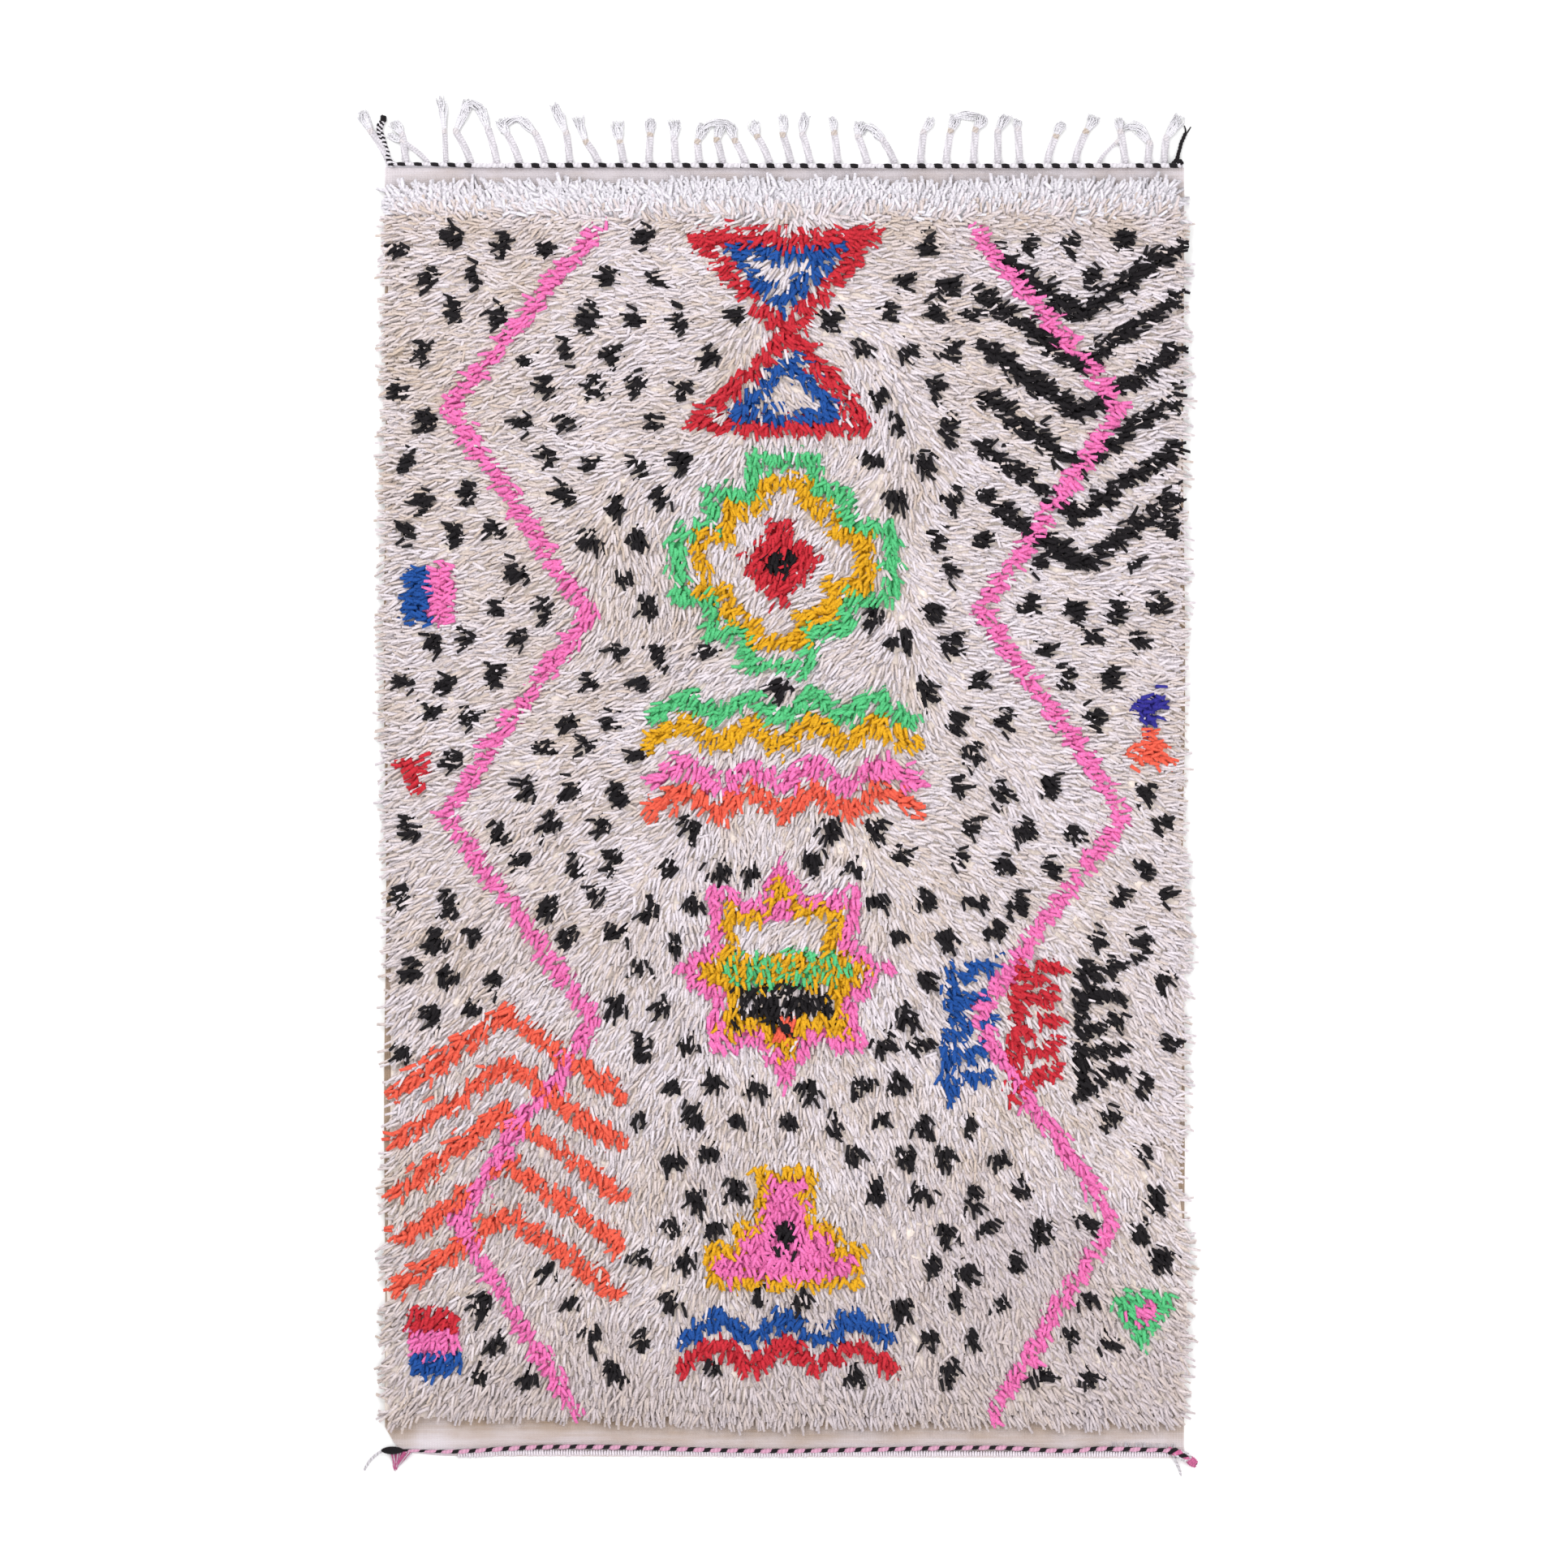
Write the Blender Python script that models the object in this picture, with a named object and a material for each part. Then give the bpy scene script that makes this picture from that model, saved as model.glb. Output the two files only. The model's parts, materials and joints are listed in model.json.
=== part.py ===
"""A shag rug with knotted wool pile, flat-woven end bands, twined edges and a plaited fringe.

Units are metres, +Z is up and the rug lies on z = 0 with its fringe towards +Y.
The origin is under the middle of the rug. Run: blender --background --python part.py
"""

import math
import random
from typing import NamedTuple

import bmesh
import bpy
from mathutils import Vector, noise

MM = 0.001

# Ground weave: one flat cloth that carries the pile and shows at both ends
CLOTH_THICKNESS = 4 * MM
CLOTH_HALF_WIDTH = 738 * MM
CLOTH_TOP_Y = 1140 * MM
CLOTH_BOTTOM_Y = -1244 * MM
CLOTH_SIDE_BOTTOM_Y = -1186 * MM
CLOTH_EDGE_POINTS = 24
CLOTH_EDGE_WAVE = 2.5 * MM
CLOTH_WAVE_LENGTH = 900 * MM

# Gap left between neighbouring pieces, and the height at which the pile and the cords rest on the cloth
SEAT_GAP = 0.3 * MM
SEAT_Z = CLOTH_THICKNESS + SEAT_GAP

# Pile: a lumpy slab whose locks reach the outline in OUTLINE
PILE_TOP_Y = 1104 * MM
PILE_BOTTOM_Y = -1183 * MM
PILE_END_WAVE = 7 * MM
PILE_END_WAVES = 4
PILE_THICKNESS = 21 * MM
PILE_RIM_THICKNESS = 13 * MM
PILE_RIM_ROUND = 70 * MM
RIM_LUMP_SHARE = 0.35
LUMP_HEIGHT = 8 * MM
LUMP_SIZE = 95 * MM
RIDGE_HEIGHT = 1 * MM
RIDGE_PITCH = 160 * MM
PILE_CELLS_ACROSS = 36
PILE_CELLS_ALONG = 56

# Locks of yarn that leave the slab's rim
LOCK_REACH = 17 * MM
LOCK_REACH_SPREAD = 4 * MM
LOCK_DROOP_SLIDE = 9 * MM
LOCK_SLIDE_SPREAD = 5 * MM
LOCK_SEED = 11
RIM_NORMAL_LIMIT = 0.3

# Fringe: a narrow strip beyond the cloth's edge with plaits fused to it
STRIP_DEPTH = 7 * MM
STRIP_HEIGHT = 4 * MM
STRIP_HALF_LENGTH = 737 * MM
STRIP_INNER_Y = CLOTH_TOP_Y + SEAT_GAP
STRIP_OUTER_Y = STRIP_INNER_Y + STRIP_DEPTH
PLAIT_ROOT_HALF_WIDTH = 4.6 * MM
PLAIT_BEND = 1.4
HEADING_STEP = 0.05
ROOT_NORMAL_LIMIT = 0.9

# Twined edge cords: a lens-shaped section that turns once in each pitch
TWINE_PITCH = 31 * MM
TWINE_HALF_WIDE = 5 * MM
TWINE_HALF_THIN = 2.8 * MM
TURN_STEPS = 4
STEP_DOWN_LENGTH = 18 * MM
WELD_DISTANCE = 0.02 * MM

WOOL_ROUGHNESS = 0.95


class Side(NamedTuple):
    """Where the pile's outline lies at one height of the rug, in millimetres."""

    y: float
    left: float
    right: float


class Corner(NamedTuple):
    """A corner of the cloth, in millimetres."""

    x: float
    y: float


class Plait(NamedTuple):
    """One plait of the fringe, in millimetres from its root."""

    root_x: float
    knot_dx: float
    knot_dy: float
    tip_dx: float
    tip_dy: float


class Station(NamedTuple):
    """A section of a plait: 0 is the root, 1 the knot and 2 the tassel's tip. Sizes in millimetres."""

    along: float
    half_width: float
    height: float


class LockStation(NamedTuple):
    """A section of a lock: its place and width as shares of the whole lock, its height in millimetres."""

    along: float
    width: float
    height: float


class Turn(NamedTuple):
    """A point on a cord's course, in millimetres, and its thickness as a share of the full cord."""

    x: float
    y: float
    share: float


OUTLINE = (
    Side(1110, -748, 746),
    Side(730, -748, 750),
    Side(460, -752, 748),
    Side(10, -749, 742),
    Side(-240, -743, 757),
    Side(-530, -743, 750),
    Side(-710, -746, 743),
    Side(-890, -750, 760),
    Side(-1190, -754, 753),
)

# The plain end's left corner is drawn in; its right corner is square
END_CORNERS = (Corner(-712, -1232), Corner(-634, -1240), Corner(738, -1244))

PLAITS = (
    Plait(-731, -33, 60, -50, 94),
    Plait(-700, -6, 53, -20, 77),
    Plait(-659, -22, 41, -33, 65),
    Plait(-626, -2, 59, -9, 118),
    Plait(-580, -27, 59, -8, 113),
    Plait(-532, -16, 65, -33, 106),
    Plait(-490, -21, 53, -34, 80),
    Plait(-442, -18, 56, -46, 80),
    Plait(-397, -6, 56, -27, 107),
    Plait(-344, -22, 40, -38, 83),
    Plait(-298, -6, 40, -12, 77),
    Plait(-251, 3, 53, 8, 80),
    Plait(-202, -2, 46, 2, 80),
    Plait(-158, -3, 40, 10, 70),
    Plait(-115, -10, 44, -6, 77),
    Plait(-73, -18, 42, -24, 71),
    Plait(-28, -22, 50, -27, 78),
    Plait(11, -14, 53, -15, 89),
    Plait(47, -14, 54, -9, 92),
    Plait(98, -6, 56, -8, 86),
    Plait(152, -16, 50, -12, 76),
    Plait(203, -22, 44, -36, 65),
    Plait(251, 6, 58, 22, 84),
    Plait(298, 9, 60, 16, 89),
    Plait(349, 4, 62, 15, 88),
    Plait(394, 0, 60, 12, 89),
    Plait(434, -3, 64, -2, 80),
    Plait(485, 16, 50, 30, 74),
    Plait(536, 21, 59, 36, 86),
    Plait(580, 10, 35, 18, 53),
    Plait(629, -8, 59, -10, 83),
    Plait(671, 4, 38, -14, 65),
    Plait(701, 4, 47, 28, 86),
)

PLAIT_STATIONS = (
    Station(0.30, 4.4, 6.5),
    Station(0.62, 4.8, 7.5),
    Station(0.88, 4.2, 7.0),
    Station(0.97, 7.5, 11.5),
    Station(1.16, 7.5, 11.5),
    Station(1.28, 4.6, 7.0),
    Station(1.70, 8.0, 8.5),
    Station(2.00, 3.0, 3.5),
)

LOCK_STATIONS = (LockStation(0.55, 0.62, 9.0), LockStation(1.0, 0.22, 5.0))

# The twined cord along the fringe, from its left tail's tip to its right tail's tip
TOP_TAIL_LEFT = (
    Turn(-739, 1242, 0.5),
    Turn(-741, 1231, 1.5),
    Turn(-744, 1220, 1.3),
    Turn(-745, 1208, 0.8),
    Turn(-737, 1188, 0.8),
    Turn(-728, 1168, 0.8),
    Turn(-722, 1153, 0.9),
)
TOP_COURSE = (Turn(-714, 1143, 1), Turn(-300, 1144, 1), Turn(200, 1142.5, 1), Turn(716, 1143, 1))
TOP_TAIL_RIGHT = (
    Turn(724, 1154, 0.9),
    Turn(729, 1170, 0.8),
    Turn(734, 1188, 0.8),
    Turn(743, 1204, 0.9),
    Turn(751, 1216, 0.5),
)

# The twined cord along the plain end, from its knob on the left to its tail on the right
BOTTOM_KNOB = (
    Turn(-745, -1229, 0.6),
    Turn(-740, -1229, 1.4),
    Turn(-726, -1229, 1.6),
    Turn(-712, -1229, 1.4),
)
BOTTOM_COURSE = (
    Turn(-704, -1229, 1),
    Turn(-610, -1232, 1),
    Turn(-455, -1223, 1),
    Turn(-328, -1223, 1),
    Turn(-29, -1230, 1),
    Turn(379, -1224, 1),
    Turn(527, -1230, 1),
    Turn(580, -1226, 1),
    Turn(712, -1229, 1),
)
BOTTOM_TAIL_RIGHT = (
    Turn(726, -1233, 0.9),
    Turn(738, -1240, 0.8),
    Turn(748, -1247, 0.8),
    Turn(760, -1256, 0.5),
)

# Loose ends fused to the plain end's knob and tail
KNOB_TUFT = (Turn(-727, -1231, 0.9), Turn(-724, -1243, 1.5), Turn(-721, -1254, 1.3), Turn(-718, -1266, 0.4))
KNOB_STRING = (Turn(-742, -1230, 0.6), Turn(-752, -1238, 0.5), Turn(-764, -1249, 0.5), Turn(-778, -1268, 0.4))
TAIL_STRING = (Turn(716, -1230, 0.6), Turn(722, -1248, 0.5), Turn(729, -1263, 0.5), Turn(733, -1279, 0.4))

COLOURS = {
    "ground_weave": (0.58, 0.52, 0.47, 1),
    "pile": (0.78, 0.72, 0.66, 1),
    "top_fringe": (0.70, 0.62, 0.56, 1),
    "top_twining": (0.10, 0.09, 0.10, 1),
    "bottom_twining": (0.45, 0.12, 0.26, 1),
}


def smooth(share):
    """Ease a share from 0 to 1 in and out."""
    share = min(max(share, 0.0), 1.0)
    return share * share * (3 - 2 * share)


def outline_at(y):
    """Left and right reach of the pile at a place along the rug."""
    for upper, lower in zip(OUTLINE, OUTLINE[1:]):
        if y >= lower.y * MM:
            break
    share = smooth((upper.y * MM - y) / ((upper.y - lower.y) * MM))
    left = upper.left + share * (lower.left - upper.left)
    right = upper.right + share * (lower.right - upper.right)
    return left * MM, right * MM


def wool(name):
    """Matt wool in the piece's own colour."""
    material = bpy.data.materials.new(name + "_wool")
    material.use_nodes = True
    shader = material.node_tree.nodes["Principled BSDF"]
    shader.inputs["Base Color"].default_value = COLOURS[name]
    shader.inputs["Roughness"].default_value = WOOL_ROUGHNESS
    shader.inputs["Metallic"].default_value = 0.0
    return material


def place_mesh(name, bm, collection, material):
    """Turn a bmesh into an object of the rug."""
    bmesh.ops.recalc_face_normals(bm, faces=bm.faces[:])
    mesh = bpy.data.meshes.new(name)
    bm.to_mesh(mesh)
    bm.free()
    mesh.materials.append(material)
    piece = bpy.data.objects.new(name, mesh)
    collection.objects.link(piece)
    return piece


def cloth_outline():
    """Corners and gently waving long edges of the ground weave, anticlockwise."""
    right = []
    for i in range(CLOTH_EDGE_POINTS + 1):
        share = i / CLOTH_EDGE_POINTS
        y = CLOTH_SIDE_BOTTOM_Y + (CLOTH_TOP_Y - CLOTH_SIDE_BOTTOM_Y) * share
        wave = CLOTH_EDGE_WAVE * math.sin(2 * math.pi * y / CLOTH_WAVE_LENGTH) * math.sin(math.pi * share)
        right.append((CLOTH_HALF_WIDTH + wave, y))
    left = [(-x, y) for x, y in reversed(right)]
    plain_end = [(corner.x * MM, corner.y * MM) for corner in END_CORNERS]
    return left + plain_end + right


def make_ground_weave(collection):
    """The cloth, as a filled outline with its thickness."""
    curve = bpy.data.curves.new("ground_weave", "CURVE")
    curve.dimensions = "2D"
    curve.fill_mode = "BOTH"
    curve.extrude = CLOTH_THICKNESS / 2
    corners = cloth_outline()
    spline = curve.splines.new("POLY")
    spline.points.add(len(corners) - 1)
    spline.use_cyclic_u = True
    for point, (x, y) in zip(spline.points, corners):
        point.co = (x, y, 0, 1)
    curve.materials.append(wool("ground_weave"))
    cloth = bpy.data.objects.new("ground_weave", curve)
    cloth.location.z = CLOTH_THICKNESS / 2
    collection.objects.link(cloth)


def pile_plan(u, v):
    """Where a grid point with u and v from -1 to 1 lies, inside the reach of the locks."""
    wave = PILE_END_WAVE * noise.noise(Vector((PILE_END_WAVES * u, v, 0)))
    top = PILE_TOP_Y - LOCK_REACH + wave
    bottom = PILE_BOTTOM_Y + LOCK_REACH + wave
    y = bottom + (top - bottom) * (v + 1) / 2
    left, right = outline_at(y)
    share = (u + 1) / 2
    return (left + LOCK_REACH) * (1 - share) + (right - LOCK_REACH) * share, y


def pile_height(x, y, inward):
    """Thickness of the pile: lumps and faint ridges, rounded down to the rim."""
    lump = LUMP_HEIGHT * noise.noise(Vector((x / LUMP_SIZE, y / LUMP_SIZE, 0.5)))
    ridge = RIDGE_HEIGHT * math.sin(2 * math.pi * y / RIDGE_PITCH)
    rim = smooth(inward / PILE_RIM_ROUND)
    relief = (lump + ridge) * (RIM_LUMP_SHARE + (1 - RIM_LUMP_SHARE) * rim)
    return PILE_RIM_THICKNESS + rim * (PILE_THICKNESS - PILE_RIM_THICKNESS) + relief


def lay_slab(bm):
    """A lumpy grid on top, one flat face below and a wall of rim faces between them."""
    bmesh.ops.create_grid(bm, x_segments=PILE_CELLS_ACROSS, y_segments=PILE_CELLS_ALONG, size=1)
    lowered = bmesh.ops.extrude_face_region(bm, geom=bm.faces[:])["geom"]
    low_faces = [item for item in lowered if isinstance(item, bmesh.types.BMFace)]
    low_verts = {vert for face in low_faces for vert in face.verts}
    for vert in bm.verts:
        u, v = vert.co.x, vert.co.y
        x, y = pile_plan(u, v)
        inward = min((1 - abs(u)) * CLOTH_HALF_WIDTH, (1 - abs(v)) * PILE_TOP_Y)
        height = 0 if vert in low_verts else pile_height(x, y, inward)
        vert.co = (x, y, SEAT_Z + height)
    bmesh.ops.dissolve_faces(bm, faces=low_faces, use_verts=True)
    bmesh.ops.recalc_face_normals(bm, faces=bm.faces[:])


def place_in_plan(face):
    """A face's middle in whole tenths of a millimetre, which orders the random draws."""
    middle = face.calc_center_median()
    return round(middle.x / (0.1 * MM)), round(middle.y / (0.1 * MM))


def grow_lock(bm, face, rng):
    """Draw one rim face out into a tapering lock that leans the way the yarn does."""
    outward = Vector((face.normal.x, face.normal.y, 0)).normalized()
    across = Vector((-outward.y, outward.x, 0))
    reach = LOCK_REACH + rng.uniform(-LOCK_REACH_SPREAD, LOCK_REACH_SPREAD)
    slide = rng.uniform(-LOCK_SLIDE_SPREAD, LOCK_SLIDE_SPREAD)
    if abs(outward.x) > abs(outward.y):
        slide -= LOCK_DROOP_SLIDE * outward.x
    root = face.calc_center_median()
    low = min(vert.co.z for vert in face.verts)
    half_width = max(abs((vert.co - root).dot(across)) for vert in face.verts)
    for station in LOCK_STATIONS:
        face = bmesh.ops.extrude_discrete_faces(bm, faces=[face])["faces"][0]
        middle = face.calc_center_median()
        centre = root + outward * reach * station.along + across * slide * station.along
        for vert in face.verts:
            side = math.copysign(half_width * station.width, (vert.co - middle).dot(across))
            height = station.height * MM if vert.co.z > middle.z else 0
            place = centre + across * side
            vert.co = (place.x, place.y, low + height)


def make_pile(collection):
    """The slab, with a lock drawn out of every face of its rim."""
    bm = bmesh.new()
    lay_slab(bm)
    rng = random.Random(LOCK_SEED)
    rim_faces = [face for face in bm.faces if abs(face.normal.z) < RIM_NORMAL_LIMIT]
    for face in sorted(rim_faces, key=place_in_plan):
        grow_lock(bm, face, rng)
    place_mesh("pile", bm, collection, wool("pile"))


def cut_strip(bm):
    """A narrow bar beyond the cloth's edge, cut where each plait's root begins and ends."""
    bmesh.ops.create_cube(bm, size=1)
    bmesh.ops.scale(bm, vec=(2 * STRIP_HALF_LENGTH, STRIP_DEPTH, STRIP_HEIGHT), verts=bm.verts[:])
    middle = (0, STRIP_INNER_Y + STRIP_DEPTH / 2, STRIP_HEIGHT / 2)
    bmesh.ops.translate(bm, vec=middle, verts=bm.verts[:])
    for plait in PLAITS:
        for side in (-1, 1):
            edge_x = plait.root_x * MM + side * PLAIT_ROOT_HALF_WIDTH
            bmesh.ops.bisect_plane(
                bm, geom=bm.verts[:] + bm.edges[:] + bm.faces[:], plane_co=(edge_x, 0, 0), plane_no=(1, 0, 0)
            )


def plait_place(plait, along):
    """A point on a plait's middle line: 0 is its root, 1 its knot and 2 its tip."""
    if along <= 1:
        dx = plait.knot_dx * along**PLAIT_BEND
        dy = plait.knot_dy * along
    else:
        dx = plait.knot_dx + (plait.tip_dx - plait.knot_dx) * (along - 1)
        dy = plait.knot_dy + (plait.tip_dy - plait.knot_dy) * (along - 1)
    return Vector((plait.root_x * MM + dx * MM, STRIP_OUTER_Y + dy * MM, 0))


def grow_plait(bm, plait):
    """Draw one root face of the strip out along a plait that lies level on the floor."""
    root = plait_place(plait, 0)
    face = min(
        (face for face in bm.faces if face.normal.y > ROOT_NORMAL_LIMIT),
        key=lambda face: (face.calc_center_median() - root).length,
    )
    for station in PLAIT_STATIONS:
        centre = plait_place(plait, station.along)
        before = plait_place(plait, station.along - HEADING_STEP)
        heading = plait_place(plait, station.along + HEADING_STEP) - before
        across = Vector((heading.y, -heading.x, 0)).normalized()
        face = bmesh.ops.extrude_discrete_faces(bm, faces=[face])["faces"][0]
        middle = face.calc_center_median()
        for vert in face.verts:
            side = math.copysign(station.half_width * MM, (vert.co - middle).dot(across))
            place = centre + across * side
            vert.co = (place.x, place.y, station.height * MM if vert.co.z > middle.z else 0)


def make_top_fringe(collection):
    """The strip with every plait of the fringe."""
    bm = bmesh.new()
    cut_strip(bm)
    bmesh.ops.recalc_face_normals(bm, faces=bm.faces[:])
    for plait in PLAITS:
        grow_plait(bm, plait)
    place_mesh("top_fringe", bm, collection, wool("top_fringe"))


def reach_between(here, there):
    """Plan distance between two rows of a course, in millimetres."""
    return math.hypot(there.x - here.x, there.y - here.y)


def course_point(turns, start, t):
    """A point on the smooth curve through a course's rows, as x, y and share of thickness."""
    last = len(turns) - 1
    before, here, there, after = (turns[min(max(start + step, 0), last)] for step in (-1, 0, 1, 2))
    length = reach_between(here, there)
    slope_share = length / (reach_between(before, here) + length)
    far_share = length / (length + reach_between(there, after))
    values = []
    for a, b, c, d in zip(before, here, there, after):
        slope = (c - a) * slope_share
        far_slope = (d - b) * far_share
        bend = 3 * (c - b) - 2 * slope - far_slope
        turn = slope + far_slope - 2 * (c - b)
        values.append(b + t * (slope + t * (bend + t * turn)))
    return values


def lift(x, y):
    """Height of what lies under a cord: the cloth, or the floor once the cord is past its edge."""
    past = max(abs(x) - CLOTH_HALF_WIDTH, CLOTH_BOTTOM_Y - y, y - STRIP_OUTER_Y)
    return SEAT_Z * (1 - smooth((past - TWINE_HALF_WIDE) / STEP_DOWN_LENGTH))


def section_guide(collection):
    """The lens-shaped section that both edge cords follow."""
    section = bpy.data.curves.new("cord_section", "CURVE")
    section.dimensions = "2D"
    spline = section.splines.new("POLY")
    corners = ((TWINE_HALF_WIDE, 0), (0, TWINE_HALF_THIN), (-TWINE_HALF_WIDE, 0), (0, -TWINE_HALF_THIN))
    spline.points.add(len(corners) - 1)
    spline.use_cyclic_u = True
    for point, (x, y) in zip(spline.points, corners):
        point.co = (x, y, 0, 1)
    guide = bpy.data.objects.new("cord_section", section)
    guide.hide_render = True
    guide.display_type = "WIRE"
    collection.objects.link(guide)
    return guide


def stations_along(turns):
    """Points a step of the twist apart on the smooth curve through a course's rows."""
    places = []
    for index, (here, there) in enumerate(zip(turns, turns[1:])):
        steps = max(1, round(reach_between(here, there) * MM / (TWINE_PITCH / TURN_STEPS)))
        places += [course_point(turns, index, step / steps) for step in range(steps)]
    places.append(turns[-1])
    return places


def lay_cord(name, turns, guide, twisted, collection, material):
    """A cord along a course, twined or plain, as a closed mesh object."""
    places = stations_along(turns)
    curve = bpy.data.curves.new(name + "_course", "CURVE")
    curve.dimensions = "3D"
    curve.twist_mode = "Z_UP"
    curve.bevel_mode = "OBJECT"
    curve.bevel_object = guide
    curve.use_fill_caps = True
    spline = curve.splines.new("POLY")
    spline.points.add(len(places) - 1)
    half_height = TWINE_HALF_WIDE if twisted else TWINE_HALF_THIN
    for step, (point, (x, y, share)) in enumerate(zip(spline.points, places)):
        point.co = (x * MM, y * MM, lift(x * MM, y * MM) + half_height * share, 1)
        point.radius = share
        point.tilt = step * 2 * math.pi / TURN_STEPS if twisted else 0
    course = bpy.data.objects.new(name + "_course", curve)
    collection.objects.link(course)

    seen = course.evaluated_get(bpy.context.evaluated_depsgraph_get())
    bm = bmesh.new()
    bm.from_mesh(bpy.data.meshes.new_from_object(seen))
    bmesh.ops.remove_doubles(bm, verts=bm.verts[:], dist=WELD_DISTANCE)
    place = course.matrix_world.copy()
    bpy.data.objects.remove(course, do_unlink=True)
    cord = place_mesh(name, bm, collection, material)
    cord.matrix_world = place
    return cord


def join_end(cord, end):
    """Fuse a loose end to its cord."""
    union = cord.modifiers.new(end.name, "BOOLEAN")
    union.operation = "UNION"
    union.object = end
    end.hide_render = True
    end.display_type = "WIRE"


def make_top_twining(collection, guide):
    """The twined cord that holds the fringe, with a tail at each corner."""
    turns = TOP_TAIL_LEFT + TOP_COURSE + TOP_TAIL_RIGHT
    lay_cord("top_twining", turns, guide, True, collection, wool("top_twining"))


def make_bottom_twining(collection, guides, guide):
    """The twined cord of the plain end, with its knob, its tail and three loose ends."""
    turns = BOTTOM_KNOB + BOTTOM_COURSE + BOTTOM_TAIL_RIGHT
    material = wool("bottom_twining")
    cord = lay_cord("bottom_twining", turns, guide, True, collection, material)
    for name, end in (("knob_tuft", KNOB_TUFT), ("knob_string", KNOB_STRING), ("tail_string", TAIL_STRING)):
        join_end(cord, lay_cord(name, end, guide, False, guides, material))


def start_part(name):
    """Clear the scene and return the rug's own collection and one for its guides."""
    for old in list(bpy.data.objects):
        bpy.data.objects.remove(old, do_unlink=True)
    rug = bpy.data.collections.new(name)
    guides = bpy.data.collections.new(name + "_guides")
    bpy.context.scene.collection.children.link(rug)
    bpy.context.scene.collection.children.link(guides)
    return rug, guides


def main():
    """Build every piece of the rug."""
    rug, guides = start_part("shag_rug")
    make_ground_weave(rug)
    make_pile(rug)
    make_top_fringe(rug)
    guide = section_guide(guides)
    make_top_twining(rug, guide)
    make_bottom_twining(rug, guides, guide)


main()
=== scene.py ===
"""Looks of a hand-knotted shag rug: woven ground, wool pile, twined edge cords and a plaited fringe."""

import json
import math
import random
from typing import NamedTuple

import bpy
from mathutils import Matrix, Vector, noise

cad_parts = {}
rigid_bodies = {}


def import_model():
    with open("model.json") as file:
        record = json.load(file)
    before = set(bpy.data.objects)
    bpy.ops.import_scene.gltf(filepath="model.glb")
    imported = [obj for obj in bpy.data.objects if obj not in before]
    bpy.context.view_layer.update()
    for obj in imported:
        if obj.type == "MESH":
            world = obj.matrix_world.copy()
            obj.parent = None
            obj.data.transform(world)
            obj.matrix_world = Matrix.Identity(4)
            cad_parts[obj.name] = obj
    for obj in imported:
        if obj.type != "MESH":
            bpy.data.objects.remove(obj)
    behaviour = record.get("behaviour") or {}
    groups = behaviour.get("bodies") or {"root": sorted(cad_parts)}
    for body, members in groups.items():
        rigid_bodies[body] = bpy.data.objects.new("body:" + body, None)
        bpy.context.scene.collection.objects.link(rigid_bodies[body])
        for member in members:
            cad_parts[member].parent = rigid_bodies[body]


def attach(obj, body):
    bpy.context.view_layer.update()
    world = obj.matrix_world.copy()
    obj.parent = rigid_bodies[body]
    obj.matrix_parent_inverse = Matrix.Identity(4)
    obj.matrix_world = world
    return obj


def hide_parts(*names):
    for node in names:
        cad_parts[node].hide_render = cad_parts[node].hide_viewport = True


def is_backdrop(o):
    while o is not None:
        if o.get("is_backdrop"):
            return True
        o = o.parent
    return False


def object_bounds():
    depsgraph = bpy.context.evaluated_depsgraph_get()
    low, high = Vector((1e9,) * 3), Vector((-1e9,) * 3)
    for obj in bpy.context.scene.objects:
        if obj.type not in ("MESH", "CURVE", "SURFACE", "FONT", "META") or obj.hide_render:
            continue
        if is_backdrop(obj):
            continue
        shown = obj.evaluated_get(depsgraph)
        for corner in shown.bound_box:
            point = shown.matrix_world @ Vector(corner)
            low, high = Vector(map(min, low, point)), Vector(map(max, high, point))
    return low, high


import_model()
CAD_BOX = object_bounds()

bl_info = {
    "name": "Shag Rug",
    "version": (1, 0, 0),
    "blender": (4, 5, 0),
    "location": "3D View > Sidebar > Rug",
    "description": "Builds a knotted shag rug with twined edges and a plaited fringe",
    "category": "Object",
}

MM = 0.001
FULL_TURN = 2 * math.pi

# The cloth, as in the frame
CLOTH_THICKNESS = 4 * MM
CLOTH_HALF_WIDTH = 738 * MM
CLOTH_TOP_Y = 1140 * MM
CLOTH_BOTTOM_Y = -1244 * MM
CLOTH_SIDE_BOTTOM_Y = -1186 * MM
CLOTH_EDGE_WAVE = 2.5 * MM
CLOTH_WAVE_LENGTH = 900 * MM
CLOTH_CELLS = (96, 120)
END_EDGE = ((-738, -1186), (-712, -1232), (-634, -1240), (738, -1244))
SEAT_Z = 4.3 * MM

# Where the bands change colour, in metres from one tone to the next; the ramps towards the pile paint the pile's
# shadow on each band.
BAND_LOW_PILE_SHADOW = (-1.226, -1.168)
BAND_UPPER_HALF = (0.9, 1.0)
BAND_TOP_PILE_SHADOW = (1.128, 1.09)
BAND_PALE_CORNER = (0.05, 0.015)
PALE_CORNER_X = -0.652

# The pile, as in the frame
PILE_TOP_Y = 1104 * MM
PILE_BOTTOM_Y = -1183 * MM
PILE_END_WAVE = 7 * MM
PILE_END_WAVES = 4
PILE_THICKNESS = 21 * MM
PILE_RIM_THICKNESS = 13 * MM
PILE_RIM_ROUND = 70 * MM
RIM_LUMP_SHARE = 0.35
LUMP_HEIGHT = 8 * MM
LUMP_SIZE = 95 * MM
OUTLINE = (
    (1110, -748, 746), (730, -748, 750), (460, -752, 748), (10, -749, 742), (-240, -743, 757),
    (-530, -743, 750), (-710, -746, 743), (-890, -750, 760), (-1190, -754, 753),
)

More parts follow.
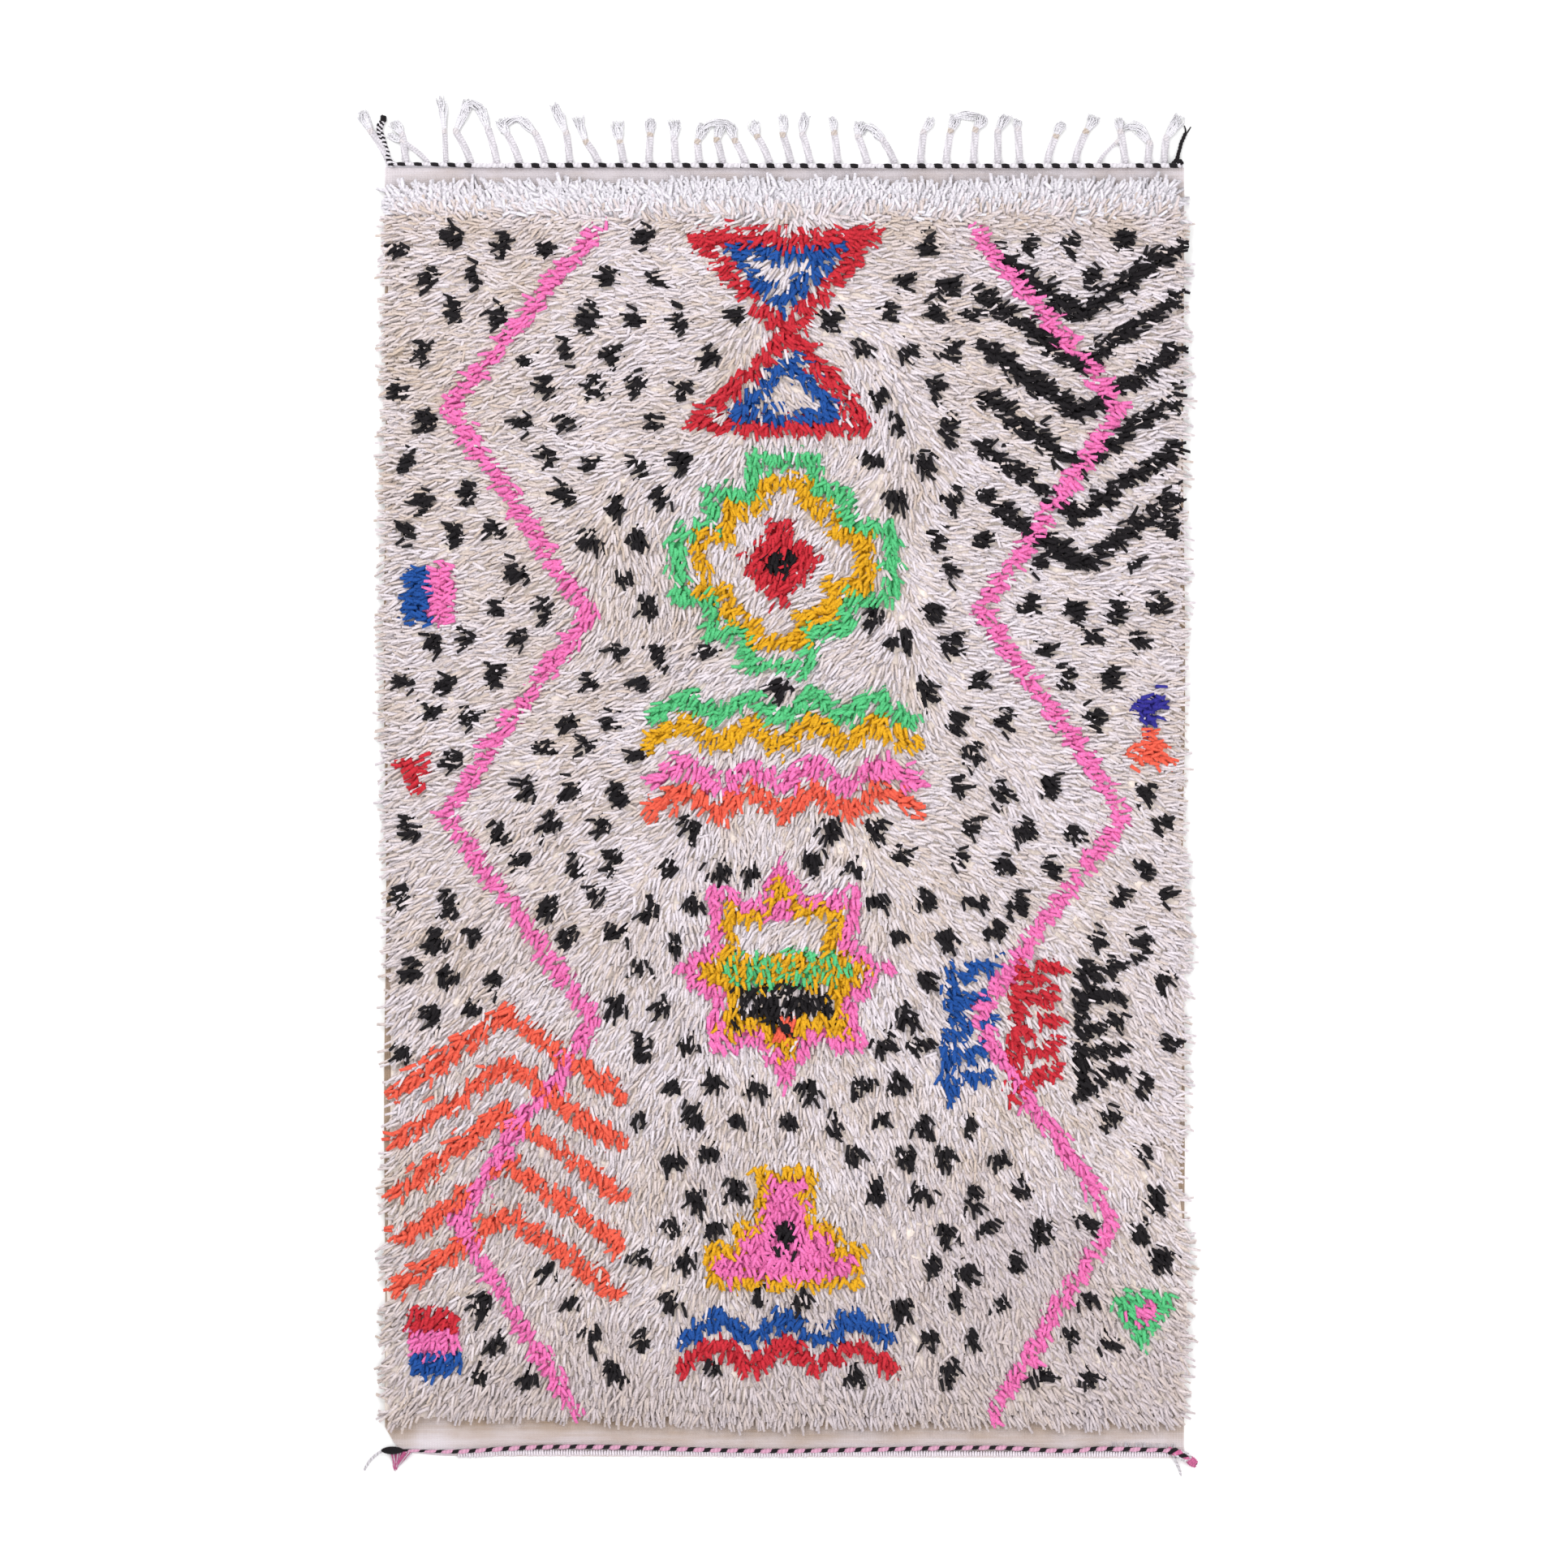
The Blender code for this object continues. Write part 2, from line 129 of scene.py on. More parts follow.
# Yarn ends: root at the origin, then the bend and the tip; forward, side and up in millimetres
TUFT_SHAPES = (
    ((9, 0, 15.5), (34, 2.8, 16.6)),
    ((8, -2, 16.5), (31, -9, 18.2)),
    ((10, 2, 14), (36, 9, 13.2)),
    ((7, 1, 17), (28, 4, 20)),
    ((9, -1, 15), (33, -5.6, 15.8)),
    ((8, 2, 16.5), (29.5, 9.6, 18.6)),
    ((10, 0, 15), (37, -2.6, 14.2)),
)
TUFT_REACH = 18 * MM
TUFT_SIDES = 3
TUFT_ALONG = (0, 17, 42)
TUFT_TAPER = 0.74
TUFT_ACROSS, TUFT_DEEP = 1.16, 0.95
TUFT_LOWEST = 3.8 * MM
TUFT_HIGHEST = 36.5 * MM
TIP_STEP, TIP_STEPS = math.radians(3), 12
ROOT_DEPTH = 0.5 * MM
ENDS_IN_KNOT = 3
DYED_STRETCH = (0.74, 1.3, 1.3)
MOST_STRETCH = 1.5

# Rows of knots, and the whiter strip along the fringe
PILE_SEED = 7
FIRST_ROW = 40 * MM
LAST_ROW = 16 * MM
STRIP_ROWS = (27, 47, 67, 87)
SIDE_INSET = 33 * MM
END_SHIFT = ((-0.71, -18), (-0.66, 5), (-0.45, 3), (-0.3, -4), (-0.1, -12), (0.1, -14), (0.3, -10),
             (0.5, -17), (0.7, -14))
END_SHIFT_DEPTH = 90 * MM
BRIGHT_DEPTH = 62 * MM
BRIGHT_FADE = 24 * MM
HALF_LENGTH = 1.14
CREAM_PIECES = 4

# The lean of the yarn ends, in degrees
FAN_LOW, FAN_HIGH = 40, 80
SWIRLS = ((24, 6, 4.1), (22, 19, 9.3))
TURN_SPREAD, TIP_SPREAD, ROLL_SPREAD = 7, 5.5, 10
STRAY_SHARE, STRAY_TURN = 0.03, 60
STRIP_FAN, STRIP_SPREAD, STRIP_DROP = 44, 13, 12
STRIP_BLEND = (34 * MM, 80 * MM)
DROP_START, DROP_END = (28 * MM, 48 * MM), (84 * MM, 60 * MM)
RIM_GAP, RIM_SHARE = 44 * MM, 0.5
RIM_TURN, RIM_SPREAD, RIM_DROP = 72, 18, 10

# The bed under the yarn ends
BED_CELLS = (184, 220)
BED_INSET = 16 * MM
BED_RIM = 12 * MM
BED_SHARE, BED_STRIP_SHARE = 0.7, 0.44
BED_STRIP_FADE = 20 * MM
BED_FLUFF = ((2.2, 60, 45, 8.0), (1.4, 150, 70, 3.0))

# Fringe: each plait's root, then its knot and its tip from there, in millimetres
STRIP_INNER_Y = 1140.3 * MM
STRIP_OUTER_Y = 1147.3 * MM
STRIP_HALF_LENGTH = 737 * MM
STRIP_CELLS = 560
PLAIT_BEND = 1.4
PLAITS = (
    (-731, -33, 60, -50, 94), (-700, -6, 53, -20, 77), (-659, -46, 41, -72, 52), (-626, -2, 59, -9, 118),
    (-580, -27, 59, -8, 113), (-532, -16, 65, -33, 106), (-490, -21, 53, -34, 80), (-442, -18, 56, -46, 80),
    (-397, -6, 56, -27, 107), (-344, -22, 40, -38, 83), (-298, -6, 40, -12, 77), (-251, 3, 53, 8, 80),
    (-202, -2, 46, 2, 80), (-158, -3, 40, 10, 70), (-115, -10, 44, -6, 77), (-73, -18, 42, -24, 71),
    (-28, -22, 50, -27, 78), (11, -14, 53, -15, 89), (47, -14, 54, -9, 92), (98, -6, 56, -8, 86),
    (152, -16, 50, -12, 76), (203, -22, 44, -36, 65), (251, 6, 58, 22, 84), (298, 9, 60, 16, 89),
    (349, 4, 62, 15, 88), (394, 0, 60, 12, 89), (434, -3, 64, -2, 80), (485, 16, 50, 30, 74),
    (536, 21, 59, 36, 86), (580, 34, 40, 40, 46), (629, -8, 59, -10, 83), (671, 4, 38, -14, 65),
    (701, 4, 47, 28, 86),
)
THIN_PLAITS = {-659: 0.72, -626: 0.72, 580: 0.5}
SOILED_KNOTS = (-344, -298, -251, -158, -115, -73, -28, 11, 98, 298, 349, 485, 536)
TASSEL_FIBRES, BRIDGE_FIBRES = 40, 22
BRIDGES = (
    ((-600, 1230), (-590, 1254), (-577, 1260), (-562, 1246), (-553, 1224)),
    ((-478, 1220), (-494, 1231), (-514, 1223), (-525, 1207)),
    ((-156, 1198), (-147, 1217), (-122, 1225), (-100, 1218), (-93, 1202)),
    ((184, 1196), (166, 1211), (150, 1217), (138, 1207)),
    ((310, 1230), (326, 1237), (346, 1236), (362, 1231)),
    ((676, 1188), (662, 1209), (640, 1218), (621, 1212)),
)

# Courses of the cords: x and y in millimetres, then the share of the full thickness
TOP_COURSE = ((-731, 1146.5, 0.7), (-660, 1146, 0.76), (-560, 1143.5, 1), (-300, 1144, 1), (200, 1142.5, 1),
              (731, 1143.5, 1))
BARE_TURNS = (5, 6, 20, 28, 43)
TOP_TAIL_LEFT = ((-724, 1144, 1), (-730, 1153, 0.9), (-734, 1168, 0.8), (-740, 1188, 0.8), (-746, 1208, 0.8),
                 (-745, 1220, 0.9), (-741, 1230, 0.8))
TOP_TAIL_RIGHT = ((714, 1144, 0.9), (724, 1154, 0.9), (729, 1170, 0.8), (734, 1188, 0.8), (741, 1203, 0.8))
TOP_FORKS = (((740, 1200, 0.5), (746, 1208, 0.5), (751, 1216, 0.4)),
             ((740, 1200, 0.5), (741, 1210, 0.5), (739, 1218, 0.4)))
BOTTOM_COURSE = ((-708, -1229, 0.62), (-650, -1231, 0.66), (-600, -1231, 0.95), (-455, -1223, 1),
                 (-328, -1223, 1), (-29, -1230, 1), (379, -1224, 1), (527, -1230, 1), (580, -1226, 1),
                 (714, -1229, 1))
BOTTOM_TAIL = ((710, -1229, 0.9), (726, -1233, 0.9), (738, -1240, 0.8), (748, -1247, 0.8), (760, -1256, 0.6))
BOTTOM_KNOB = (-745, -708, -1229)
KNOB_TUFT = ((-730, -1231), (-685, -1232), (-720, -1266))
KNOB_FIBRES, ROSE_FIBRES = 40, 27
KNOB_STRING = ((-742, -1230, 0.8), (-752, -1236, 0.75), (-766, -1249, 0.75), (-777, -1267, 0.6))
TAIL_STRING = ((716, -1232, 0.8), (722, -1248, 0.75), (729, -1263, 0.7), (733, -1277, 0.5))
TAIL_LOOP = ((720, -1234, 0.7), (730, -1243, 0.7), (741, -1247, 0.7), (750, -1242, 0.7), (743, -1234, 0.7),
             (732, -1230, 0.6))
EDGE_ENDS = (600, 722)
EDGE_END_COUNT = 34
LOOPS_START = -604 * MM
LOOP_SPREAD, LOOP_SEED = 0.12, 5

# The design, in millimetres
YARNS = ("black", "pink", "red", "blue", "green", "mustard", "coral", "violet")
MEDALLION = (0, 420)
STAR_PLACE = (0, -330)
STAR_SIZE, STAR_INNER = 196, 0.8
PYRAMID_PLACE = (0, -800)
DOT_ROW_SHARE = 0.78
DOT_COLUMNS = 9
DOTS_TOP, DOTS_BOTTOM, DOTS_SIDE, DOTS_SPAN = 1000, -1140, 715, 2200
DOT_REACH, DOT_CLEAR, STAR_CLEAR = 24, 38, 150
DOT_SKIPPED, SECOND_YARN_SHARE = 0.04, 0.45

# Wool in the shaders
WOOL = {"Specular IOR Level": 0.15, "Sheen Roughness": 0.6}
BUMP_STRENGTH = 0.7

# The stage, in metres; the sensor in millimetres
FLOOR_REACH = 30
CAMERA_PLACE = (-0.75 * MM, 1.5 * MM, 12)
VIEW_SPAN = 2.898
SENSOR_WIDTH = 36


class Stroke(NamedTuple):
    """A line of knots in the design, in millimetres."""

    colour: str
    points: tuple
    half_width: float = 9.5


class Patch(NamedTuple):
    """A filled shape of knots in the design, with a second yarn mixed in if it is named."""

    colour: str
    points: tuple
    second: str = ""


class Dot(NamedTuple):
    """One slanted dot of black knots, in millimetres."""

    x: float
    y: float
    across: float
    along: float
    slant: float


class Tuft(NamedTuple):
    """One yarn end: where it grows, how it turns and stretches, its shape and its tone."""

    place: tuple
    turn: tuple
    stretch: tuple
    kind: int
    shade: float


def linear(red, green, blue):
    """8-bit display values as a linear colour."""
    shares = (value / 255 for value in (red, green, blue))
    return tuple(((share + 0.055) / 1.055) ** 2.4 if share > 0.04045 else share / 12.92 for share in shares)


def colour_property(name, description, red, green, blue):
    """A colour that a user may change, given in 8-bit display values."""
    return bpy.props.FloatVectorProperty(
        name=name, description=description, subtype="COLOR", size=3, min=0, max=1,
        default=linear(red, green, blue),
    )


def size_property(name, description, millimetres):
    """A length that a user may change."""
    return bpy.props.FloatProperty(name=name, description=description, default=millimetres * MM, unit="LENGTH")


class RugSizes(bpy.types.PropertyGroup):
    """Sizes of the yarn and the cords."""

    row_pitch: size_property("Row pitch", "Distance between two rows of knots", 20)
    knot_pitch: size_property("Knot pitch", "Distance between two knots in a row", 6.8)
    yarn_width: size_property("Yarn width", "Thickness of one yarn end of the pile", 5.5)
    dot_pitch: size_property("Dot pitch", "Distance between two dots of the design", 86)
    twine_pitch: size_property("Twine pitch", "Length of one turn of the edge cords", 31)
    plait_pitch: size_property("Plait pitch", "Length of one turn of a plait", 17)
    loop_pitch: size_property("Loop pitch", "Distance between two warp loops of the plain end", 5)


class RugColours(bpy.types.PropertyGroup):
    """Colours of the yarns."""

    cream: colour_property("Cream", "Tips of the undyed pile", 234, 224, 231)
    # Painted shading: warmer than the tips, like the shade between strands, and lighter, to lift that shade.
    cream_root: colour_property("Cream root", "Shaded roots of the undyed pile", 242, 228, 219)
    # Darker tones of the undyed pile towards the plain end; the root colour is painted shading, lighter than the tips
    # to lift the shade between strands.
    dusty: colour_property("Plain end", "Tips of the undyed pile towards the plain end", 214, 202, 207)
    dusty_root: colour_property("Plain end root", "Roots of the undyed pile towards the plain end", 226, 212, 207)
    beige: colour_property("Beige", "Darker undyed yarn mixed into the pile", 210, 190, 174)
    bright: colour_property("Bright", "Tips of the whiter pile along the fringe's end", 236, 232, 240)
    # Painted light: lighter than the tips, to lift the shade between strands.
    bright_root: colour_property("Bright root", "Roots of the whiter pile", 248, 244, 248)
    black: colour_property("Black", "Black yarn", 27, 23, 27)
    pink: colour_property("Pink", "Pink yarn", 252, 124, 192)
    red: colour_property("Red", "Red yarn", 210, 46, 60)
    blue: colour_property("Blue", "Blue yarn", 32, 84, 164)
    green: colour_property("Green", "Green yarn", 92, 204, 134)
    mustard: colour_property("Mustard", "Mustard yarn", 236, 175, 30)
    coral: colour_property("Coral", "Coral yarn", 250, 102, 80)
    violet: colour_property("Violet", "Violet yarn", 55, 50, 152)
    band_light: colour_property("Band, light", "Light threads of the flat-woven bands", 218, 209, 214)
    band_dark: colour_property("Band, dark", "Dark threads of the flat-woven bands", 176, 152, 131)
    warp: colour_property("Warp", "Undyed warp yarn of the fringe and loops", 224, 219, 226)
    tassel: colour_property("Tassel", "Combed yarn of the fringe's tassels", 240, 238, 244)
    pale_pink: colour_property("Pale pink", "Faded pink yarn of the plain end's cord", 216, 160, 188)
    rose: colour_property("Rose", "Rose yarn of the plain end's tuft and tail", 204, 106, 152)
    blush: colour_property("Blush", "Undyed yarn with a pink bloom, in the plain end's loops", 238, 228, 236)
    string: colour_property("String", "Grey undyed strings at the corners", 196, 192, 196)
    knot_tan: colour_property("Knot", "Soiled yarn of the fringe's knots", 203, 188, 176)


def smooth(share):
    """Ease a share from 0 to 1 in and out."""
    share = min(max(share, 0.0), 1.0)
    return share * share * (3 - 2 * share)


def eased(value, start, end):
    """0 at the start and 1 at the end, eased in and out."""
    return smooth((value - start) / (end - start))


def noise_at(x, y, layer):
    """Smooth noise between -1 and 1."""
    return noise.noise(Vector((x, y, layer)))


def between(rows, x):
    """The value of a row of (x, value) pairs at x, straight between them."""
    for (x0, value0), (x1, value1) in zip(rows, rows[1:]):
        if x <= x1:
            break
    share = min(max((x - x0) / (x1 - x0), 0), 1)
    return value0 + (value1 - value0) * share


def outline_at(y):
    """Left and right reach of the pile at a place along the rug."""
    for upper, lower in zip(OUTLINE, OUTLINE[1:]):
        if y >= lower[0] * MM:
            break
    share = eased(y, upper[0] * MM, lower[0] * MM)
    return tuple((upper[side] + share * (lower[side] - upper[side])) * MM for side in (1, 2))


def half_cloth(y):
    """Half the width of the cloth at a place along it."""
    share = min(max((y - CLOTH_SIDE_BOTTOM_Y) / (CLOTH_TOP_Y - CLOTH_SIDE_BOTTOM_Y), 0), 1)
    wave = math.sin(FULL_TURN * y / CLOTH_WAVE_LENGTH) * math.sin(math.pi * share)
    return CLOTH_HALF_WIDTH + CLOTH_EDGE_WAVE * wave


def pile_height(x, y, inward):
    """Thickness of the pile: soft lumps, lower at the rim."""
    lump = LUMP_HEIGHT * noise_at(x / LUMP_SIZE, y / LUMP_SIZE, 0.5)
    rim = smooth(inward / PILE_RIM_ROUND)
    relief = lump * (RIM_LUMP_SHARE + (1 - RIM_LUMP_SHARE) * rim)
    return PILE_RIM_THICKNESS + rim * (PILE_THICKNESS - PILE_RIM_THICKNESS) + relief


def end_wave(u, v):
    """How far the pile's ends wave, for places from -1 to 1 across and along."""
    return PILE_END_WAVE * noise_at(PILE_END_WAVES * u, v, 0)


# The design: ordinary zigzags, chevrons, steps, combs and dots


def moved(points, x, y, scale=1.0):
    """Points scaled and set down round a centre."""
    return tuple((x + px * scale, y + py * scale) for px, py in points)


def closed(points):
    """Points with the first one repeated at the end."""
    return tuple(points) + (points[0],)


def square(x, y, half_x, half_y):
    """The corners of a block."""
    return moved(((-half_x, -half_y), (half_x, -half_y), (half_x, half_y), (-half_x, half_y)), x, y)


def star_point(i):
    """One corner of the eight-point star, long and short in turn."""
    across, along = (186, STAR_SIZE) if i % 2 == 0 else (126, 128)
    return math.sin(math.pi * i / 8) * across, math.cos(math.pi * i / 8) * along


ZIGZAG = ((-338, 1020), (-606, 700), (-350, 322), (-612, -50), (-344, -420), (-600, -790), (-382, -1148))
STEPS = ((-58, 196), (58, 196), (58, 130), (128, 130), (128, 62), (196, 62), (196, -62), (128, -62),
         (128, -130), (58, -130), (58, -196), (-58, -196), (-58, -130), (-128, -130), (-128, -62), (-196, -62),
         (-196, 62), (-128, 62), (-128, 130), (-58, 130))
PYRAMID = ((-132, -98), (132, -98), (132, -48), (88, -48), (88, 2), (44, 2), (44, 98), (-44, 98), (-44, 2),
           (-88, 2), (-88, -48), (-132, -48))
TRIANGLE = ((-150, 85), (150, 85), (0, -85))
FACING_TRIANGLE = tuple((x, -y) for x, y in TRIANGLE)
STAR = tuple(star_point(i) for i in range(16))
STAR_BANDS = (("pink", ""), ("", ""), ("green", "mustard"), ("black", "cream"), ("coral", "black"))
ZIGZAG_ROWS = (("green", 130, 232, 4), ("mustard", 84, 232, 4), ("pink", 6, 232, 4), ("coral", -40, 232, 4))
LOW_ZIGZAG_ROWS = (("blue", -1012, 190, 3), ("red", -1062, 190, 3))
SMALL_PATCHES = (
    ("red", ((-700, 52), (-640, 52), (-670, -14))),
    ("violet", ((620, 168), (704, 168), (662, 108))), ("coral", ((662, 108), (620, 48), (704, 48))),
    ("green", ((596, -930), (712, -930), (654, -1034))), ("pink", ((624, -944), (684, -944), (654, -1000))),
    ("blue", square(-640, -1062, 42, 20)), ("pink", square(-640, -1022, 42, 20)),
    ("red", square(-640, -982, 42, 20)),
)


def chevrons(colour, left, right, first_y, drop, count, step=92):
    """Nested V shapes, one below the other."""
    middle = (left + right) / 2
    rows = [first_y - step * i for i in range(count)]
    return [Stroke(colour, ((left, y), (middle, y - drop), (right, y)), 11.5) for y in rows]


def comb(colour, x, y, height, teeth, reach):
    """An upright spine with short teeth to one side."""
    strokes = [Stroke(colour, ((x, y), (x, y - height)))]
    for i in range(teeth):
        tooth_y = y - 20 - (height - 40) * i / (teeth - 1)
        strokes.append(Stroke(colour, ((x, tooth_y), (x + reach, tooth_y + 26))))
    return strokes


def zigzag_row(colour, y, reach, peaks, rise=44):
    """One crosswise zigzag."""
    points = [(-reach + 2 * reach * i / (2 * peaks), y + (rise if i % 2 else 0)) for i in range(2 * peaks + 1)]
    return Stroke(colour, tuple(points), 11.5)


def banded_star(x, y):
    """A star with crosswise bands inside a two-yarn outline."""
    shapes = []
    inner = moved(STAR, x, y, STAR_INNER)
    top, bottom = y + STAR_SIZE * STAR_INNER, y - STAR_SIZE * STAR_INNER
    depth = (top - bottom) / len(STAR_BANDS)
    for i, (colour, second) in enumerate(STAR_BANDS):
        if colour:
            upper = top - depth * i
            shapes.append(Patch(colour, clip_between(inner, upper - depth, upper), second))
    return shapes + [Stroke("pink", closed(moved(STAR, x, y)), 9), Stroke("mustard", closed(inner), 9)]


def clip_between(points, low, high):
    """The part of a shape that lies between two heights."""
    for limit, side in ((low, 1), (high, -1)):
        kept = []
        for (x0, y0), (x1, y1) in zip(points, points[1:] + points[:1]):
            inside0, inside1 = (y0 - limit) * side >= 0, (y1 - limit) * side >= 0
            if inside0:
                kept.append((x0, y0))
            if inside0 != inside1:
                kept.append((x0 + (x1 - x0) * (limit - y0) / (y1 - y0), limit))
        points = tuple(kept)
    return points


def main_shapes():
    """Every shape of the design but the dots, the last one on top."""
    shapes = chevrons("black", 352, 716, 996, 130, 6) + chevrons("coral", -712, -300, -560, -150, 5)
    for colour, x in (("blue", 300), ("red", 420), ("black", 540)):
        shapes += comb(colour, x, -330, 236, 5, 74)
    shapes += [Stroke("red", closed(moved(TRIANGLE, 0, 932)), 11)]
    shapes += [Stroke("red", closed(moved(FACING_TRIANGLE, 0, 758)), 11)]
    shapes += [Stroke("blue", closed(moved(TRIANGLE, 0, 946, 0.56)), 9)]
    shapes += [Stroke("blue", closed(moved(FACING_TRIANGLE, 0, 744, 0.56)), 9)]
    for colour, scale in (("green", 1.0), ("mustard", 0.78)):
        shapes.append(Stroke(colour, closed(moved(STEPS, *MEDALLION, scale)), 10))
    shapes += [Patch("red", moved(STEPS, *MEDALLION, 0.36)), Patch("black", square(*MEDALLION, 24, 26))]
    shapes += [zigzag_row(*row) for row in ZIGZAG_ROWS] + banded_star(*STAR_PLACE)
    pyramid = moved(PYRAMID, *PYRAMID_PLACE)
    shapes += [Patch("pink", pyramid), Stroke("mustard", closed(pyramid), 8), Patch("black", square(0, -822, 16, 24))]
    shapes += [zigzag_row(*row) for row in LOW_ZIGZAG_ROWS]
    shapes += [Stroke("pink", ZIGZAG, 10), Stroke("pink", tuple((-x, y) for x, y in ZIGZAG), 10)]
    for i, colour in enumerate(("blue", "pink", "blue", "pink")):
        shapes.append(Patch(colour, square(-664 + 44 * (i % 2), 330 + 44 * (i // 2 + i % 2) % 88, 22, 22)))
    return shapes + [Patch(colour, points) for colour, points in SMALL_PATCHES]


def span_of(shape):
    """Lowest and highest place of a shape along the rug."""
    if isinstance(shape, Dot):
        return shape.y - DOT_REACH, shape.y + DOT_REACH
    reach = shape.half_width if isinstance(shape, Stroke) else 0
    heights = [y for _, y in shape.points]
    return min(heights) - reach, max(heights) + reach


def off_line(x, y, points):
    """Distance from a place to a line of points."""
    nearest = math.inf
    for (x0, y0), (x1, y1) in zip(points, points[1:]):
        dx, dy = x1 - x0, y1 - y0
        share = min(max(((x - x0) * dx + (y - y0) * dy) / (dx * dx + dy * dy), 0), 1)
        nearest = min(nearest, math.hypot(x - x0 - dx * share, y - y0 - dy * share))
    return nearest


def inside(x, y, points):
    """Whether a place is inside a closed line of points."""
    odd = False
    for (x0, y0), (x1, y1) in zip(points, points[1:] + points[:1]):
        if (y0 > y) != (y1 > y) and x < x0 + (x1 - x0) * (y - y0) / (y1 - y0):
            odd = not odd
    return odd


def covers(shape, x, y):
    """Whether a shape of the design covers a place."""
    if isinstance(shape, Stroke):
        return off_line(x, y, shape.points) < shape.half_width
    if isinstance(shape, Patch):
        return inside(x, y, shape.points)
    dx, dy = x - shape.x, y - shape.y
    across = dx * math.cos(shape.slant) + dy * math.sin(shape.slant)
    along = dy * math.cos(shape.slant) - dx * math.sin(shape.slant)
    return (across / shape.across) ** 2 + (along / shape.along) ** 2 < 1


def is_clear(x, y, shapes):
    """Whether a dot at a place stays clear of the other shapes."""
    for shape in shapes:
        filled = isinstance(shape, Patch)
        if off_line(x, y, closed(shape.points) if filled else shape.points) <= DOT_CLEAR:
            return False
        if filled and inside(x, y, shape.points):
            return False
    in_star = math.hypot(x - STAR_PLACE[0], y - STAR_PLACE[1]) <= STAR_CLEAR
    return not in_star and not inside(x, y, moved(STEPS, *MEDALLION))


def plan_dots(shapes, pitch, rng):
    """Dots over the open ground, on a loose grid."""
    dots = []
    for row in range(int(DOTS_SPAN / (pitch * DOT_ROW_SHARE))):
        for column in range(-DOT_COLUMNS, DOT_COLUMNS + 1):
            x = (column + 0.5 * (row % 2)) * pitch + rng.uniform(-13, 13)
            y = DOTS_TOP - row * pitch * DOT_ROW_SHARE + rng.uniform(-12, 12)
            dot = Dot(x, y, rng.uniform(12, 16), rng.uniform(14, 19), rng.uniform(-0.7, 0.7))
            if abs(x) > DOTS_SIDE or y < DOTS_BOTTOM or rng.random() < DOT_SKIPPED:
                continue
            if is_clear(x, y, shapes):
                dots.append(dot)
    return dots


def design(sizes):
    """Every shape of the design, the dots included."""
    shapes = main_shapes()
    return shapes + plan_dots(shapes, sizes.dot_pitch / MM, random.Random(3))


def yarn_at(near, x, y, rng):
    """The yarn of a knot at a place, from the shapes that reach its row."""
    yarn = "cream"
    for shape in near:
        if covers(shape, x, y):
            if isinstance(shape, Dot):
                yarn = "black"
            elif isinstance(shape, Patch) and shape.second and rng.random() < SECOND_YARN_SHARE:
                yarn = shape.second
            else:
                yarn = shape.colour
    return yarn


# Mesh helpers

MESH_VALUES = {
    "turn": ("FLOAT_VECTOR", "vector", "POINT"), "stretch": ("FLOAT_VECTOR", "vector", "POINT"),
    "kind": ("INT", "value", "POINT"), "tint": ("FLOAT_COLOR", "color", "FACE"),
}


def plain_mesh(name, verts, faces=(), edges=(), materials=(), smoothed=False, **values):
    """A mesh with its materials, and named values for its points or faces."""
    mesh = bpy.data.meshes.new(name)
    mesh.from_pydata(verts, edges, faces)
    for material in materials:
        mesh.materials.append(material)
    if smoothed:
        mesh.polygons.foreach_set("use_smooth", [True] * len(faces))
    for label, row in values.items():
        kind, field, domain = MESH_VALUES.get(label, ("FLOAT", "value", "POINT"))
        flat = row if field == "value" else [part for value in row for part in value]
        mesh.attributes.new(label, kind, domain).data.foreach_set(field, flat)
    mesh.update()
    return mesh


def new_piece(name, mesh):
    """An object for a finished or source mesh."""
    piece = bpy.data.objects.new(name, mesh)
    bpy.context.scene.collection.objects.link(piece)
    return piece


def discard(piece):
    """Remove a source object and its mesh."""
    mesh = piece.data
    bpy.data.objects.remove(piece, do_unlink=True)
    bpy.data.meshes.remove(mesh)


def grown_mesh(source, tree, values, name):
    """The plain mesh that a Geometry Nodes tree makes from a source object, which is then removed."""
    grower = source.modifiers.new(tree.name, "NODES")
    grower.node_group = tree
    for item in tree.interface.items_tree:
        if item.in_out == "INPUT" and item.name in values:
            grower[item.identifier] = values[item.name]
    source.update_tag()
    depsgraph = bpy.context.evaluated_depsgraph_get()
    mesh = bpy.data.meshes.new_from_object(
        source.evaluated_get(depsgraph), preserve_all_data_layers=True, depsgraph=depsgraph
    )
    mesh.name = name
    discard(source)
    return new_piece(name, mesh)


def finish_piece(piece, slot, *nodes):
    """Tie a piece to the body and hide the nodes that it stands for; the slot is not used."""
    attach(piece, "root")
    if nodes:
        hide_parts(*nodes)


# Node helpers


class Value:
    """A node's result that plain arithmetic works on."""

    def __init__(self, socket):
        self.socket = socket
        self.tree = socket.id_data

    def math(self, operation, *others, clamp=False):
        """The result of a Math node on this value and others."""
        inputs = enumerate((self, *others))
        return result(self.tree, "ShaderNodeMath", inputs, operation=operation, use_clamp=clamp)

    def vector(self, operation, *others):
        """The result of a Vector Math node on this value and others."""
        return result(self.tree, "ShaderNodeVectorMath", enumerate((self, *others)), operation=operation)

    def scaled(self, share):
        """This colour or vector times a share."""
        return result(self.tree, "ShaderNodeVectorMath", {0: self, "Scale": share}, operation="SCALE")

    def __add__(self, other):
        return self.math("ADD", other)

    def __sub__(self, other):
        return self.math("SUBTRACT", other)

    def __rsub__(self, other):
        return result(self.tree, "ShaderNodeMath", {0: other, 1: self}, operation="SUBTRACT")

    def __mul__(self, other):
        return self.math("MULTIPLY", other)

    def __truediv__(self, other):
        return self.math("DIVIDE", other)


